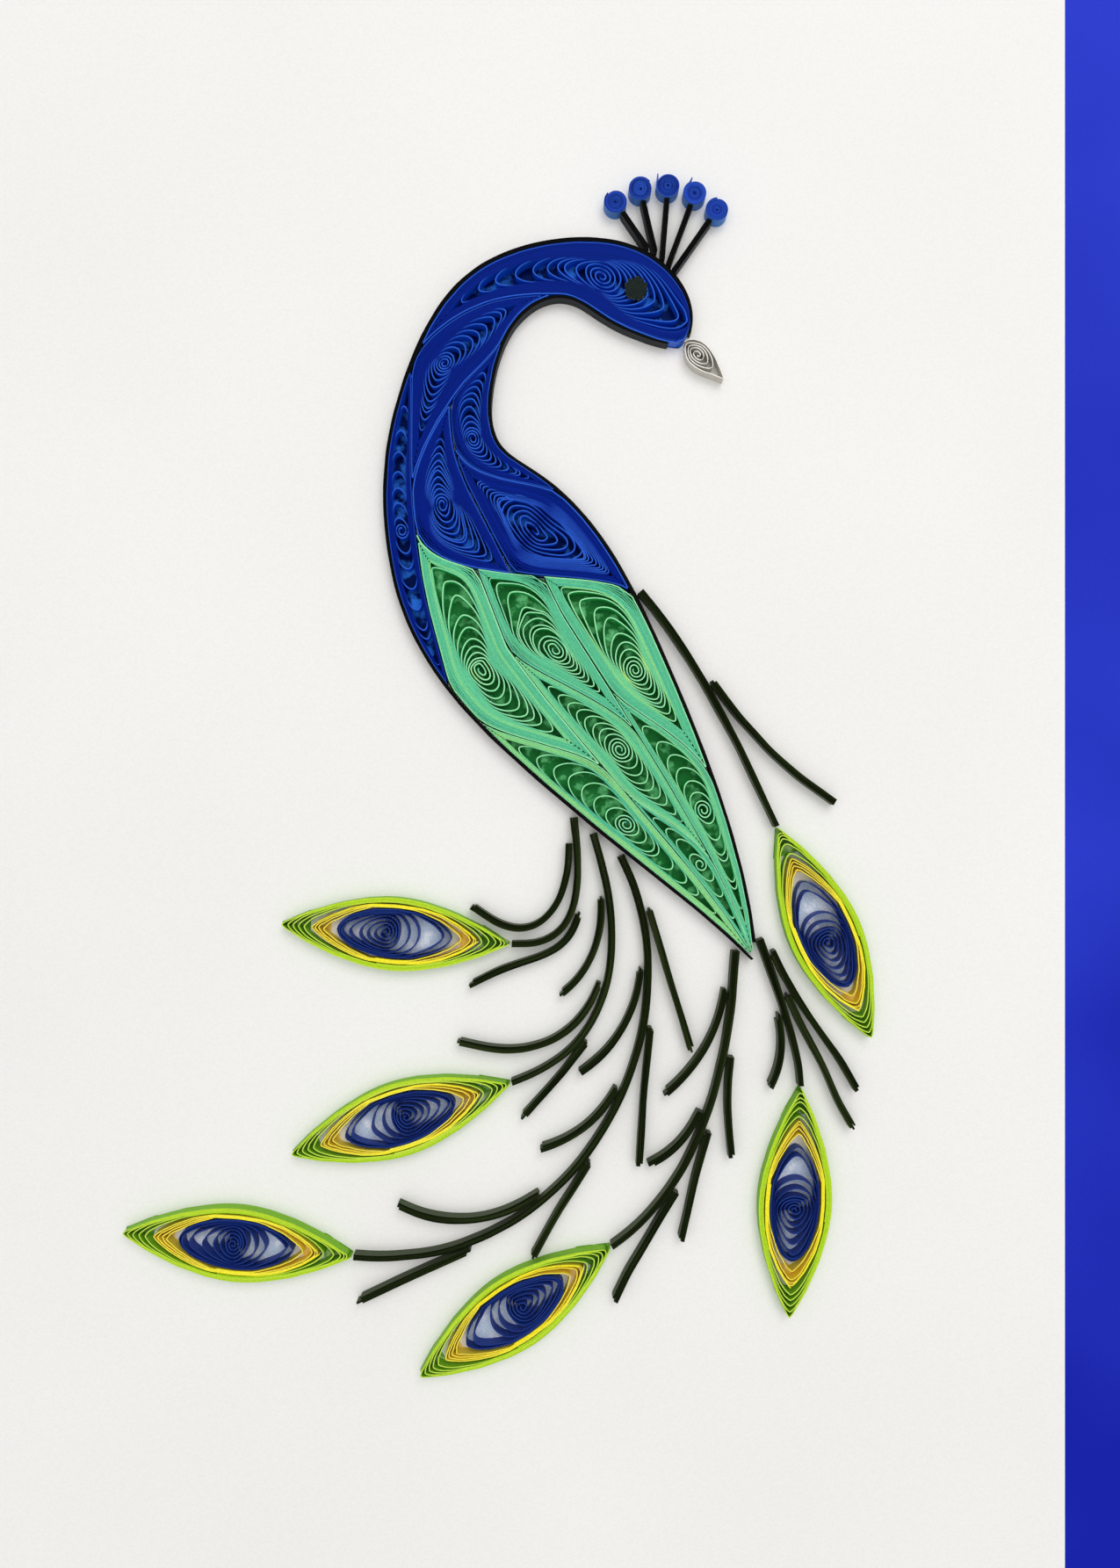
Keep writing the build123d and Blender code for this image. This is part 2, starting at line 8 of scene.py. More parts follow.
import bpy
import numpy as np
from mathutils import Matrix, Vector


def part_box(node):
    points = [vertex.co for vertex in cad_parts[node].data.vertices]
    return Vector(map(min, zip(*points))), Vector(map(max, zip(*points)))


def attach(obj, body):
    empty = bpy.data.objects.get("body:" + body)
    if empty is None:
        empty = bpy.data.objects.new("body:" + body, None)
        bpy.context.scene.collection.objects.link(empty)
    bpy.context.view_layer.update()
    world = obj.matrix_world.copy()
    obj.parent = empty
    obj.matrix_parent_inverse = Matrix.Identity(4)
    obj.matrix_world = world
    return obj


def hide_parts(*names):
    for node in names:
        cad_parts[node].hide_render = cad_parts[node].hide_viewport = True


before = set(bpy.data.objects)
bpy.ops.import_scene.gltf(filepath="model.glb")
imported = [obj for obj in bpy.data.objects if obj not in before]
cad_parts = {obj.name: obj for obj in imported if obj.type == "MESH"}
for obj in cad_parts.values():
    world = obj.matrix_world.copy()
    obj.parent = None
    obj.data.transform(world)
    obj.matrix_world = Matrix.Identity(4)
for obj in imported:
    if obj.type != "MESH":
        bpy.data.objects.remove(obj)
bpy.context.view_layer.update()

# Dresses the quilled peacock. Each coil is wound from one long paper strip inside the
# outline of its solid, and each stem is a bundle of strips. Lengths are in metres.

MM = 0.001
BODY = "root"
TINY = 1e-9
FULL_TURN = 2.0 * math.pi
log = logging.getLogger("quilled_peacock")

# The points on a coil's side and how often they are smoothed
SIDE_STEPS = 320
SIDE_SMOOTHING = 12

# The rounds it takes to pair the two sides, how far each of them goes, how far a step may
# shrink or stretch, and the share of a round end's depth that its middle is taken from
SQUARING_PASSES = 200
SQUARING_GAIN = 0.2
STEP_BOUNDS = (0.35, 2.5)
END_SHARE = 0.8

# The samples that a reach is looked up in, the points of the painted shade film on a ring's floor at
# each tip, and more turns than any coil has
REACH_STEPS = 500
FLOOR_STEPS = 30
MOST_TURNS = 40

# The spacing of points along a coil's strip and along a straight one, the thickness of
# paper that stands free, and how far a coil laps over the seam to its neighbour
STATION_STEP = 0.8 * MM
BUNDLE_STEP = 0.5 * MM
LOOSE_PAPER = 0.22 * MM
SEAM_COVER = 0.06 * MM

# Corners of a strip's cross-section, joined into its four walls and its two ends
WALLS = ((2, 6, 5, 1), (0, 1, 5, 4), (3, 7, 6, 2), (0, 4, 7, 3))
ENDS = ((0, 3, 2, 1), (3, 0, 1, 2))
SHARP_ANGLE = 38.0

# Grains in a metre: paper fibres, patches of painted glint on the gap films, and clouds in a card's
# surface
FIBRES = 5200.0
PAINTED_GLINT_PATCHES = 420.0
CARD_CLOUDS = 14.0

# A run of points, a plain row of numbers, a colour, and a value in a finish
Path = np.ndarray
Row = np.ndarray
Colour = tuple[float, ...]
Socket = bpy.types.NodeSocket


def linear(colour: Colour) -> Colour:
    """Turn a colour from screen values into the values that a shader takes.

    Args:
        colour: Red, green and blue, each from 0 to 255.

    Returns:
        The linear red, green, blue and alpha.
    """
    shares = []
    for value in colour:
        share = value / 255.0
        shares.append(share / 12.92 if share <= 0.04045 else ((share + 0.055) / 1.055) ** 2.4)
    return (*shares, 1.0)


def run_length(points: Path) -> float:
    """Add up the legs of a run of points."""
    return float(np.sum(np.linalg.norm(np.diff(points, axis=0), axis=1)))


def between(at: Row, places: Row, points: Path) -> Path:
    """Find where places lie on a run whose points have known places."""
    return np.column_stack([np.interp(at, places, points[:, axis]) for axis in (0, 1)])


def at_shares(points: Path, shares: Row) -> Path:
    """Find the points at shares of the way along an evenly spaced run."""
    return between(shares, np.linspace(0.0, 1.0, len(points)), points)


def evenly(points: Path, count: int) -> Path:
    """Space a run of points evenly.

    Args:
        points: The run of points.
        count: How many points to give back.

    Returns:
        The same run with evenly spaced points.
    """
    legs = np.linalg.norm(np.diff(points, axis=0), axis=1)
    travelled = np.concatenate([[0.0], np.cumsum(legs)])
    return between(np.linspace(0.0, travelled[-1], count), travelled, points)


def smoothed(points: Path, passes: int) -> Path:
    """Round off the small corners of a run and keep its ends.

    Args:
        points: The run of points.
        passes: How often each point is drawn to its neighbours.

    Returns:
        The smoother run.
    """
    result = points.copy()
    for _ in range(passes):
        result[1:-1] = 0.25 * result[:-2] + 0.5 * result[1:-1] + 0.25 * result[2:]
    return result


def headings(points: Path) -> Path:
    """Give the direction of a run at each of its points.

    Args:
        points: The run of points.

    Returns:
        One step of length 1 for each point.
    """
    along = np.gradient(points, axis=0)
    return along / np.maximum(np.linalg.norm(along, axis=1, keepdims=True), TINY)


def side_chains(outline: Path, first: int, last: int) -> tuple[Path, Path]:
    """Split a closed outline at two corners into its two sides.

    Args:
        outline: The closed outline, without its first point again at the end.
        first: The corner where both sides start.
        last: The corner where both sides end.

    Returns:
        The two sides, both from the first corner to the last.
    """
    turned = np.roll(outline, -first, axis=0)
    cut = (last - first) % len(outline)
    one = turned[: cut + 1]
    other = np.vstack([turned[cut:], turned[:1]])[::-1]
    return one, other


def far_corners(outline: Path) -> tuple[int, int]:
    """Find the two corners of an outline that lie farthest apart.

    Args:
        outline: The closed outline.

    Returns:
        The numbers of both corners.
    """
    gaps = np.linalg.norm(outline[:, None, :] - outline[None, :, :], axis=2)
    first, last = np.unravel_index(np.argmax(gaps), gaps.shape)
    return int(first), int(last)


def signed_area(loop: Path) -> float:
    """Work out the area in a loop, above zero where it runs anticlockwise."""
    x, y = loop[:, 0], loop[:, 1]
    return 0.5 * float(np.sum(x * np.roll(y, -1) - np.roll(x, -1) * y))


def nearness(reach: Row, theta: Row, bend: Row) -> Row:
    """Give how near each point of a turn is to the turn's tip.

    Args:
        reach: How far the turn reaches from the core there.
        theta: The angle that the strip has turned through.
        bend: How long the bend at the turn's tip is.

    Returns:
        One share for each point, from 0 where the bend starts to 1 at its tip.
    """
    from_tip = reach * (1.0 - np.abs(np.cos(theta)))
    return 1.0 - np.clip(from_tip / np.maximum(bend, 1e-7), 0.0, 1.0)


class NodeTop:
    """The top face of a CAD node: its height, its middle and its closed outlines.

    Args:
        node: The node's name.
    """

    def __init__(self, node: str) -> None:
        low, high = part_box(node)
        self.base = low.z
        self.top = high.z
        self.middle = np.array([(low.x + high.x) / 2.0, (low.y + high.y) / 2.0])
        self.radius = (high.x - low.x) / 2.0
        loops = self._loops(node)
        self.outers = [loop for loop in loops if signed_area(loop) > 0.0]
        self.holes = [loop for loop in loops if signed_area(loop) < 0.0]

    def _loops(self, node: str) -> list[Path]:
        """Follow the edges that only one top face uses.

        Args:
            node: The node's name.

        Returns:
            The loops, the largest first.
        """
        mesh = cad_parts[node].data
        corners = [tuple(round(value, 6) for value in vertex.co) for vertex in mesh.vertices]
        edges = set()
        for polygon in mesh.polygons:
            around = [corners[index] for index in polygon.vertices]
            if min(corner[2] for corner in around) > self.top - 0.01 * MM:
                flat = [corner[:2] for corner in around]
                edges.update(zip(flat, flat[1:] + flat[:1]))
        onward = {start: end for start, end in edges if (end, start) not in edges}
        loops = []
        while onward:
            point = min(onward)
            loop = []
            while point in onward:
                loop.append(point)
                point = onward.pop(point)
            loops.append(np.array(loop))
        return sorted(loops, key=lambda loop: -abs(signed_area(loop)))

    def core(self) -> Path:
        """Find the middle of the roundest hole, where the coil's core is."""
        best = min(self.holes, key=lambda hole: np.std(np.linalg.norm(hole - hole.mean(0), axis=1)))
        return best.mean(0)


class CoilShape:
    """A coil's outline as a middle line from tip to tip with a width across it.

    Args:
        outline: The closed outline.
        core: The middle of the coil's core.
        round_end: Whether the end that is nearer to the core is round, with no tip.
        squared: How far the lines across are turned square to the middle line.
    """

    def __init__(
        self, outline: Path, core: Path, round_end: bool = False, squared: float = 1.0
    ) -> None:
        outline = evenly(np.vstack([outline, outline[:1]]), 4 * SIDE_STEPS)[:-1]
        first, last = far_corners(outline)
        if np.linalg.norm(outline[first] - core) < np.linalg.norm(outline[last] - core):
            first, last = last, first
        if round_end:
            last = self._round_tip(outline, core, first, last)
        chains = side_chains(outline, first, last)
        sides = [smoothed(evenly(chain, SIDE_STEPS), SIDE_SMOOTHING) for chain in chains]
        near, far = self._squared(sides, squared)
        self.places = np.linspace(-1.0, 1.0, SIDE_STEPS)
        self.middle = (near + far) / 2.0
        self.across = (near - far) / 2.0
        self.widths = np.linalg.norm(self.across, axis=1)
        self.length = run_length(self.middle)
        self.unit = self.length / 2.0
        self.core_at = self.place_of(core)
        self.core_half = float(self.half(np.array([self.core_at]))[0])

    @staticmethod
    def _round_tip(outline: Path, core: Path, first: int, last: int) -> int:
        """Find the middle of a round end, straight on from the coil's middle line.

        Args:
            outline: The closed outline.
            core: The middle of the coil's core.
            first: The corner at the other end.
            last: The corner that lies farthest from it.

        Returns:
            The number of the outline's point there.
        """
        one, other = side_chains(outline, first, last)
        middle = (evenly(one, SIDE_STEPS) + evenly(other, SIDE_STEPS)) / 2.0
        near = int(np.argmin(np.linalg.norm(middle - core, axis=1)))
        onward = middle[near] - middle[near - SIDE_STEPS // 8]
        ahead = (outline - core) @ (onward / np.linalg.norm(onward))
        end = outline[ahead > END_SHARE * ahead.max()].mean(0)
        return int(np.argmin(np.linalg.norm(outline - end, axis=1)))

    @staticmethod
    def _squared(sides: list[Path], amount: float) -> list[Path]:
        """Pair the points of two sides so that the lines across lie square to the middle.

        Args:
            sides: Both sides, evenly spaced from tip to tip.
            amount: How much of the way to take, from 0 for an even pairing to 1.

        Returns:
            The paired points of both sides.
        """
        even = np.linspace(0.0, 1.0, SIDE_STEPS)
        shares = [even.copy(), even.copy()]
        lengths = [run_length(side) for side in sides]
        for _ in range(SQUARING_PASSES):
            ends = [at_shares(side, share) for side, share in zip(sides, shares)]
            along = headings(smoothed((ends[0] + ends[1]) / 2.0, 6))
            skew = np.sum((ends[0] - ends[1]) * along, axis=1)
            for index, sign in enumerate((-1.0, 1.0)):
                moved = shares[index] + sign * SQUARING_GAIN * skew / lengths[index]
                moved[0], moved[-1] = 0.0, 1.0
                moved = smoothed(moved[:, None], 2)[:, 0]
                shares[index] = np.clip(np.maximum.accumulate(moved), 0.0, 1.0)
        paired = []
        for side, share in zip(sides, shares):
            steps = np.clip(np.diff(share) * (SIDE_STEPS - 1), *STEP_BOUNDS)
            bounded = np.concatenate([[0.0], np.cumsum(steps)]) / steps.sum()
            paired.append(at_shares(side, even + amount * (bounded - even)))
        return paired

    def half(self, at: Row) -> Row:
        """Give half the width at places from -1 at one tip to 1 at the other."""
        return np.interp(at, self.places, self.widths)

    def points(self, at: Row, off: Row) -> Path:
        """Give the points at distances off the middle line.

        Args:
            at: The places along the middle line.
            off: The distances to its side.

        Returns:
            One point for each place.
        """
        across = between(at, self.places, self.across)
        size = np.maximum(np.hypot(*across.T), TINY)
        return between(at, self.places, self.middle) + across / size[:, None] * off[:, None]

    def squareness(self, at: Row, path: Path) -> Row:
        """Give how squarely the lines across the coil meet a path.

        Args:
            at: The places of the path's points along the middle line.
            path: The path's points.

        Returns:
            One share for each point, from a half up to 1.
        """
        across = between(at, self.places, self.across)
        along = np.gradient(path, axis=0)
        size = np.linalg.norm(across, axis=1) * np.linalg.norm(along, axis=1)
        cross = across[:, 0] * along[:, 1] - across[:, 1] * along[:, 0]
        return np.clip(np.abs(cross) / np.maximum(size, 1e-15), 0.5, 1.0)

    def place_of(self, point: Path) -> float:
        """Find the place along the middle line that is nearest to a point."""
        return float(self.places[int(np.argmin(np.linalg.norm(self.middle - point, axis=1)))])

    def reach(self, end: float, depth: float) -> float:
        """Find how far from the core towards a tip the half width still holds a depth.

        Args:
            end: The tip, 1 or -1.
            depth: The half width that is asked for.

        Returns:
            The distance, in the coil's places.
        """
        places = np.linspace(self.core_at, end, REACH_STEPS)
        narrow = self.half(places) < depth
        stop = int(np.argmax(narrow)) if narrow.any() else len(places) - 1
        return abs(float(places[stop]) - self.core_at)


@dataclass
class Strip:
    """One paper strip on edge.

    Attributes:
        path: Its middle line.
        drop: How far its top edge lies below the piece's highest one.
        tone: Its place in the paper's range of tones.
        open: How free it stands of its neighbours, which sets how much painted highlight its upper edge
            takes.
        thickness: How thick its paper is.
    """

    path: Path
    drop: Row
    tone: Row
    open: Row
    thickness: float | Row


def place_mesh(
    mesh: bpy.types.Mesh, material: bpy.types.Material, nodes: Sequence[str]
) -> bpy.types.Object:
    """Put a mesh in the scene as a piece that stands for CAD nodes.

    Args:
        mesh: The mesh, in the frame's own place.
        material: Its material.
        nodes: The CAD nodes that it replaces.

    Returns:
        The new object.
    """
    mesh.polygons.foreach_set("use_smooth", [True] * len(mesh.polygons))
    mesh.set_sharp_from_angle(angle=math.radians(SHARP_ANGLE))
    mesh.materials.append(material)
    mesh.update()
    piece = bpy.data.objects.new(mesh.name, mesh)
    bpy.context.scene.collection.objects.link(piece)
    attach(piece, BODY)
    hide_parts(*nodes)
    log.info("%s: %d faces in place of %s", piece.name, len(mesh.polygons), ", ".join(nodes))
    return piece


def tint(mesh: bpy.types.Mesh, name: str, values: Row) -> None:
    """Keep a value for each corner of a mesh, for its material to read."""
    layer = mesh.attributes.new(name, "FLOAT", "POINT")
    layer.data.foreach_set("value", values.astype(np.float32))


class StripPiece:
    """Gathers the paper strips that stand for one CAD node.

    Args:
        node: The CAD node, which also names the piece.
        seed: The number that the piece's irregularities come from.
    """

    def __init__(self, node: str, seed: int) -> None:
        self.node = node
        self.solid = NodeTop(node)
        self.rng = np.random.default_rng(seed)
        self.corners: list[Path] = []
        self.faces: list[np.ndarray] = []
        # The floor value marks the film that carries the painted light and shade of a gap's floor.
        self.tints: dict[str, list[Row]] = {"tone": [], "open": [], "floor": []}
        self.count = 0

    def add(self, strip: Strip) -> None:
        """Stand one strip on its edge, closed at both ends.

        Args:
            strip: The strip.
        """
        along = headings(strip.path)
        width = np.broadcast_to(strip.thickness, len(strip.path))[:, None]
        sideways = np.column_stack([-along[:, 1], along[:, 0]]) * width / 2.0
        upper = self.solid.top - strip.drop
        self._close(strip.path + sideways, strip.path - sideways, upper)
        self._tint(strip.tone, strip.open, np.zeros(len(upper)))

    def add_painted_film(self, left: Path, right: Path, height: float) -> None:
        """Lay a thin film between two sides, closed all round, to carry the painted light and shade of
        a gap's floor.

        Args:
            left: The points of one side.
            right: The matching points of the other side.
            height: How thick the film is.
        """
        self._close(left, right, np.full(len(left), self.solid.base + height))
        blank = np.zeros(len(left))
        self._tint(blank, blank, np.ones(len(left)))

    def _close(self, left: Path, right: Path, upper: Row) -> None:
        """Close the walls round a run from the base up to its own height.

        Args:
            left: The points of one side.
            right: The matching points of the other side.
            upper: The height at each point.
        """
        lower = np.full(len(upper), self.solid.base)
        rows = [(left, lower), (left, upper), (right, upper), (right, lower)]
        corners = np.stack([np.column_stack([side, height]) for side, height in rows], axis=1)
        start = self.count + 4 * np.arange(len(upper) - 1)[:, None]
        foot, head = np.array([ENDS[0]]), np.array([ENDS[1]])
        self.faces += [start + np.array([wall]) for wall in WALLS]
        self.faces += [foot + self.count, head + self.count + 4 * (len(upper) - 1)]
        self.corners.append(corners.reshape(-1, 3))
        self.count += 4 * len(upper)

    def _tint(self, *values: Row) -> None:
        """Keep the tone, the openness and the floor share of the run closed last."""
        for kept, value in zip(self.tints.values(), values):
            kept.append(np.repeat(value, 4))

    def build(self, material: bpy.types.Material, slot: str) -> bpy.types.Object:
        """Make the object that stands for the node.

        Args:
            material: The paper's material.
            slot: A material slot's name; not used.

        Returns:
            The finished object.
        """
        mesh = bpy.data.meshes.new(f"{self.node}_paper")
        mesh.from_pydata(np.vstack(self.corners).tolist(), [], np.vstack(self.faces).tolist())
        for name, values in self.tints.items():
            tint(mesh, name, np.concatenate(values))
        return place_mesh(mesh, material, [self.node])


class Graph:
    """The nodes of a material or of the room, with short ways to add and join them.

    Args:
        owner: The material or world.
    """

    def __init__(self, owner: bpy.types.Material | bpy.types.World) -> None:
        owner.use_nodes = True
        self.owner = owner
        self.nodes = owner.node_tree.nodes
        self.links = owner.node_tree.links
        self.shader = self.nodes.get("Principled BSDF")

    def add(self, kind: str, **values: object) -> bpy.types.Node:
        """Add a node and set its own values.

        Args:
            kind: The node's type.
            values: Its settings by their names.

        Returns:
            The new node.
        """
        node = self.nodes.new(kind)
        for name, value in values.items():
            setattr(node, name, value)
        return node

    def join(self, source: Socket, target: Socket) -> None:
        """Join an output to an input."""
        self.links.new(source, target)

    def read(self, name: str) -> Socket:
        """Give one of the values that a mesh keeps for its corners."""
        return self.add("ShaderNodeAttribute", attribute_name=name).outputs["Fac"]

    def part(self, source: Socket, axis: str) -> Socket:
        """Give the X, Y or Z of a place or direction.

        Args:
            source: The place or direction.
            axis: X, Y or Z.

        Returns:
            The output with that number.
        """
        parts = self.add("ShaderNodeSeparateXYZ")
        self.join(source, parts.inputs["Vector"])
        return parts.outputs[axis]

    def noise(self, scale: float, detail: float) -> Socket:
        """Give noise in the object's own space.

        Args:
            scale: How many grains there are in a metre.
            detail: How much finer noise is in it.

        Returns:
            The noise's value output.
        """
        noise = self.add("ShaderNodeTexNoise")
        noise.inputs["Scale"].default_value = scale
        noise.inputs["Detail"].default_value = detail
        self.join(self.add("ShaderNodeTexCoord").outputs["Object"], noise.inputs["Vector"])
        return noise.outputs["Fac"]

    def ramp(self, source: Socket, stops: Sequence[tuple[float, Colour]], **values: str) -> Socket:
        """Turn a value into a colour.

        Args:
            source: The value.
            stops: Its stops, each with the screen colour there, or with a linear one and alpha.
            values: Settings of the colour ramp by their names.

        Returns:
            The colour's output.
        """
        node = self.add("ShaderNodeValToRGB")
        for name, value in values.items():
            setattr(node.color_ramp, name, value)
        elements = node.color_ramp.elements
        while len(elements) < len(stops):
            elements.new(0.5)
        for element, (place, colour) in zip(elements, stops):
            element.position = place
            element.color = linear(colour) if len(colour) == 3 else colour
        self.join(source, node.inputs["Fac"])
        return node.outputs["Color"]

    def spread(
        self, source: Socket, start: tuple[float, float], end: tuple[float, float]
    ) -> Socket:
        """Stretch a value from one range to another.

        Args:
            source: The value.
            start: The range that it is in.
            end: The range that it takes.

        Returns:
            The stretched value's output.
        """
        node = self.add("ShaderNodeMapRange")
        node.inputs["From Min"].default_value, node.inputs["From Max"].default_value = start
        node.inputs["To Min"].default_value, node.inputs["To Max"].default_value = end
        self.join(source, node.inputs["Value"])
        return node.outputs["Result"]

    def mix(
        self,
        factor: Socket | float,
        first: Socket | Colour,
        second: Socket | Colour,
        blend: str = "MIX",
    ) -> Socket:
        """Mix two colours.

        Args:
            factor: How much of the second colour there is.
            first: The first colour or its socket.
            second: The second colour or its socket.
            blend: How they mix.

        Returns:
            The mixed colour's output.
        """
        node = self.add("ShaderNodeMix", data_type="RGBA", blend_type=blend)
        for number, value in ((0, factor), (6, first), (7, second)):
            target = node.inputs[number]
            if isinstance(value, Socket):
                self.join(value, target)
            else:
                target.default_value = linear(value) if isinstance(value, tuple) else value
        return node.outputs[2]

    def surface(
        self, colour: Socket, grain: Socket, rough: tuple[float, float], bump: tuple[float, float]
    ) -> bpy.types.Material:
        """Give the shader its colour, its roughness and its bump.

        Args:
            colour: The surface's colour.
            grain: The grain that roughens and raises it.
            rough: The roughness between the grain's lows and highs.
            bump: The strength and the depth of the grain.

        Returns:
            The finished material.
        """
        self.join(colour, self.shader.inputs["Base Color"])
        self.join(self.spread(grain, (0.3, 0.7), rough), self.shader.inputs["Roughness"])
        node = self.add("ShaderNodeBump")
        node.inputs["Strength"].default_value, node.inputs["Distance"].default_value = bump
        self.join(grain, node.inputs["Height"])
        self.join(node.outputs["Normal"], self.shader.inputs["Normal"])
        return self.owner


@dataclass(frozen=True)
class PaperFinish:
    """Coloured quilling paper on edge.

    Attributes:
        name: The material's name.
        tones: The colours of the strips' upper edges, from one tone to another.
        rim_highlight: The painted highlight that upper edges take where a turn stands free.
        wall: The colour of the strips' flat sides, painted apart from their edges' tones: a painted
            sheen where it is lighter than them, painted shade where it is darker.
        glint: The colour of its sheen.
        rough: How matt the paper is.
        sheen: How much it reflects besides its colour.
        floor: The colour of the thin film on the floor between its turns, painted in place of the shade
            and coloured bounce light deep in the gaps.
        painted_floor_glint: The colour of the painted glints in patches on that film.
    """

    name: str
    tones: tuple[tuple[float, Colour], ...]
    rim_highlight: Colour
    wall: Colour
    glint: Colour = (255, 255, 255)
    rough: float = 0.5
    sheen: float = 0.12
    floor: Colour = (255, 255, 255)
    painted_floor_glint: Colour = (255, 255, 255)

    def material(self) -> bpy.types.Material:
        """Make the paper's material.

        Returns:
            The material, which tells a strip's edge, its sides and the painted gap film apart.
        """
        graph = Graph(bpy.data.materials.new(self.name))
        normal = graph.add("ShaderNodeNewGeometry").outputs["Normal"]
        # Painted sheen and shade: faces that do not point up take the wall colour instead of the edge's
        # tones.
        upward = graph.spread(graph.part(normal, "Z"), (0.3, 0.8), (0.0, 1.0))
        # Painted highlight: upper edges that stand free of their neighbours are lightened towards the
        # rim highlight.
        edge = graph.mix(graph.read("open"), graph.ramp(graph.read("tone"), self.tones), self.rim_highlight)
        # Painted light and shade deep in the gaps: the floor film takes the floor colour, with patches
        # of painted glint.
        painted_gap_colour = graph.ramp(graph.noise(PAINTED_GLINT_PATCHES, 2.0), ((0.5, self.floor), (0.66, self.painted_floor_glint)))
        colour = graph.mix(graph.read("floor"), graph.mix(upward, self.wall, edge), painted_gap_colour)
        fibres = graph.noise(FIBRES, 4.0)
        mottle = graph.ramp(fibres, ((0.3, (205, 205, 205)), (0.62, (255, 255, 255))))
        graph.shader.inputs["Specular IOR Level"].default_value = self.sheen
        graph.shader.inputs["Specular Tint"].default_value = linear(self.glint)
        mottled = graph.mix(0.7, colour, mottle, "MULTIPLY")
        return graph.surface(mottled, fibres, (self.rough - 0.08, self.rough + 0.1), (0.35, 0.02 * MM))


@dataclass(frozen=True)
class CardFinish:
    """Flat card or board with a fine tooth.

    Attributes:
        name: The material's name.
        light: The lighter colour of its surface.
        dark: The darker colour of its surface.
        grain: How many grains there are in a metre.
        depth: How deep the grain is.
        rough: How matt it is.
        painted_shade_slope: How much it darkens in a metre from its top edge down, painted shade of
            light that falls from above.
        sheen: How much it reflects besides its colour.
    """

    name: str
    light: Colour
    dark: Colour
    grain: float
    depth: float
    rough: float
    painted_shade_slope: float = 0.0
    sheen: float = 0.3

    def material(self) -> bpy.types.Material:
        """Make the card's material.

        Returns:
            The material, with faint clouds, the painted shade from top to bottom and the tooth.
        """
        graph = Graph(bpy.data.materials.new(self.name))
        place = graph.add("ShaderNodeTexCoord").outputs["Object"]
        # Painted shade: the colour darkens down the board's height as if lit from above.
        slope = graph.add("ShaderNodeMath", operation="MULTIPLY_ADD")
        slope.inputs[1].default_value = self.painted_shade_slope
        graph.join(graph.part(place, "Y"), slope.inputs[0])
        graph.join(graph.noise(CARD_CLOUDS, 2.0), slope.inputs[2])
        clouds = graph.ramp(slope.outputs[0], ((0.25, self.dark), (0.75, self.light)))
        grain = graph.noise(self.grain, 5.0)
        tooth = graph.ramp(grain, ((0.35, (246, 246, 246)), (0.6, (255, 255, 255))))
        graph.shader.inputs["Specular IOR Level"].default_value = self.sheen
        toothed = graph.mix(0.5, clouds, tooth, "MULTIPLY")
        return graph.surface(toothed, grain, (self.rough - 0.06, self.rough + 0.06), (0.4, self.depth))


# In each paper the tones are its own colours; the rim highlight, the wall's sheen and shade, and the
# floor with its glints are painted light and shade.
BLUE_PAPER = PaperFinish(
    "paper_blue",
    ((0.0, (4, 18, 112)), (0.5, (6, 26, 134)), (1.0, (10, 38, 158))),
    rim_highlight=(50, 100, 216),
    wall=(20, 98, 228),
    glint=(70, 130, 235),
    rough=0.36,
    sheen=0.25,
    floor=(2, 10, 74),
    painted_floor_glint=(56, 138, 238),
)
CREST_PAPER = PaperFinish(
    "paper_crest_blue",
    ((0.0, (16, 40, 140)), (0.5, (24, 56, 166)), (1.0, (40, 78, 190))),
    rim_highlight=(46, 84, 190),
    wall=(66, 128, 210),
    glint=(120, 165, 240),
    rough=0.45,
    sheen=0.2,
)
GREEN_PAPER = PaperFinish(
    "paper_green",
    (
        (0.0, (62, 180, 186)),
        (0.3, (86, 198, 150)),
        (0.6, (112, 216, 156)),
        (0.85, (152, 228, 140)),
        (1.0, (188, 238, 124)),
    ),
    rim_highlight=(160, 244, 180),
    wall=(60, 206, 116),
    floor=(14, 124, 52),
    painted_floor_glint=(128, 230, 156),
)
LIME_PAPER = PaperFinish(
    "paper_lime",
    ((0.0, (164, 212, 14)), (0.5, (186, 224, 34)), (1.0, (208, 234, 72))),
    rim_highlight=(200, 232, 84),
    wall=(136, 200, 40),
    floor=(104, 164, 44),
    painted_floor_glint=(214, 236, 160),
)
YELLOW_PAPER = PaperFinish(
    "paper_yellow",
    ((0.0, (255, 238, 24)), (0.5, (255, 246, 50)), (1.0, (252, 246, 96))),
    rim_highlight=(255, 234, 76),
    wall=(255, 228, 72),
    floor=(255, 222, 110),
    painted_floor_glint=(252, 236, 176),
)
NAVY_PAPER = PaperFinish(
    "paper_navy",
    ((0.0, (8, 22, 80)), (0.5, (16, 36, 104)), (1.0, (40, 64, 136))),
    rim_highlight=(34, 58, 132),
    wall=(36, 66, 160),
    glint=(140, 165, 225),
    floor=(206, 220, 234),
    painted_floor_glint=(244, 248, 252),
    rough=0.42,
    sheen=0.1,
)
BLACK_PAPER = PaperFinish(
    "paper_black",
    ((0.0, (6, 6, 6)), (1.0, (20, 19, 18))),
    rim_highlight=(30, 28, 26),
    wall=(48, 52, 56),
    glint=(150, 150, 150),
    sheen=0.05,
)
STEM_PAPER = PaperFinish(
    "paper_stem",
    ((0.0, (14, 20, 6)), (0.6, (26, 36, 12)), (1.0, (42, 52, 24))),
    rim_highlight=(46, 54, 28),
    wall=(78, 88, 66),
    glint=(150, 160, 130),
    sheen=0.05,
)
BEAK_PAPER = PaperFinish(
    "paper_beak",
    ((0.0, (236, 233, 224)), (1.0, (252, 251, 246))),
    rim_highlight=(250, 248, 242),
    wall=(224, 219, 208),
)
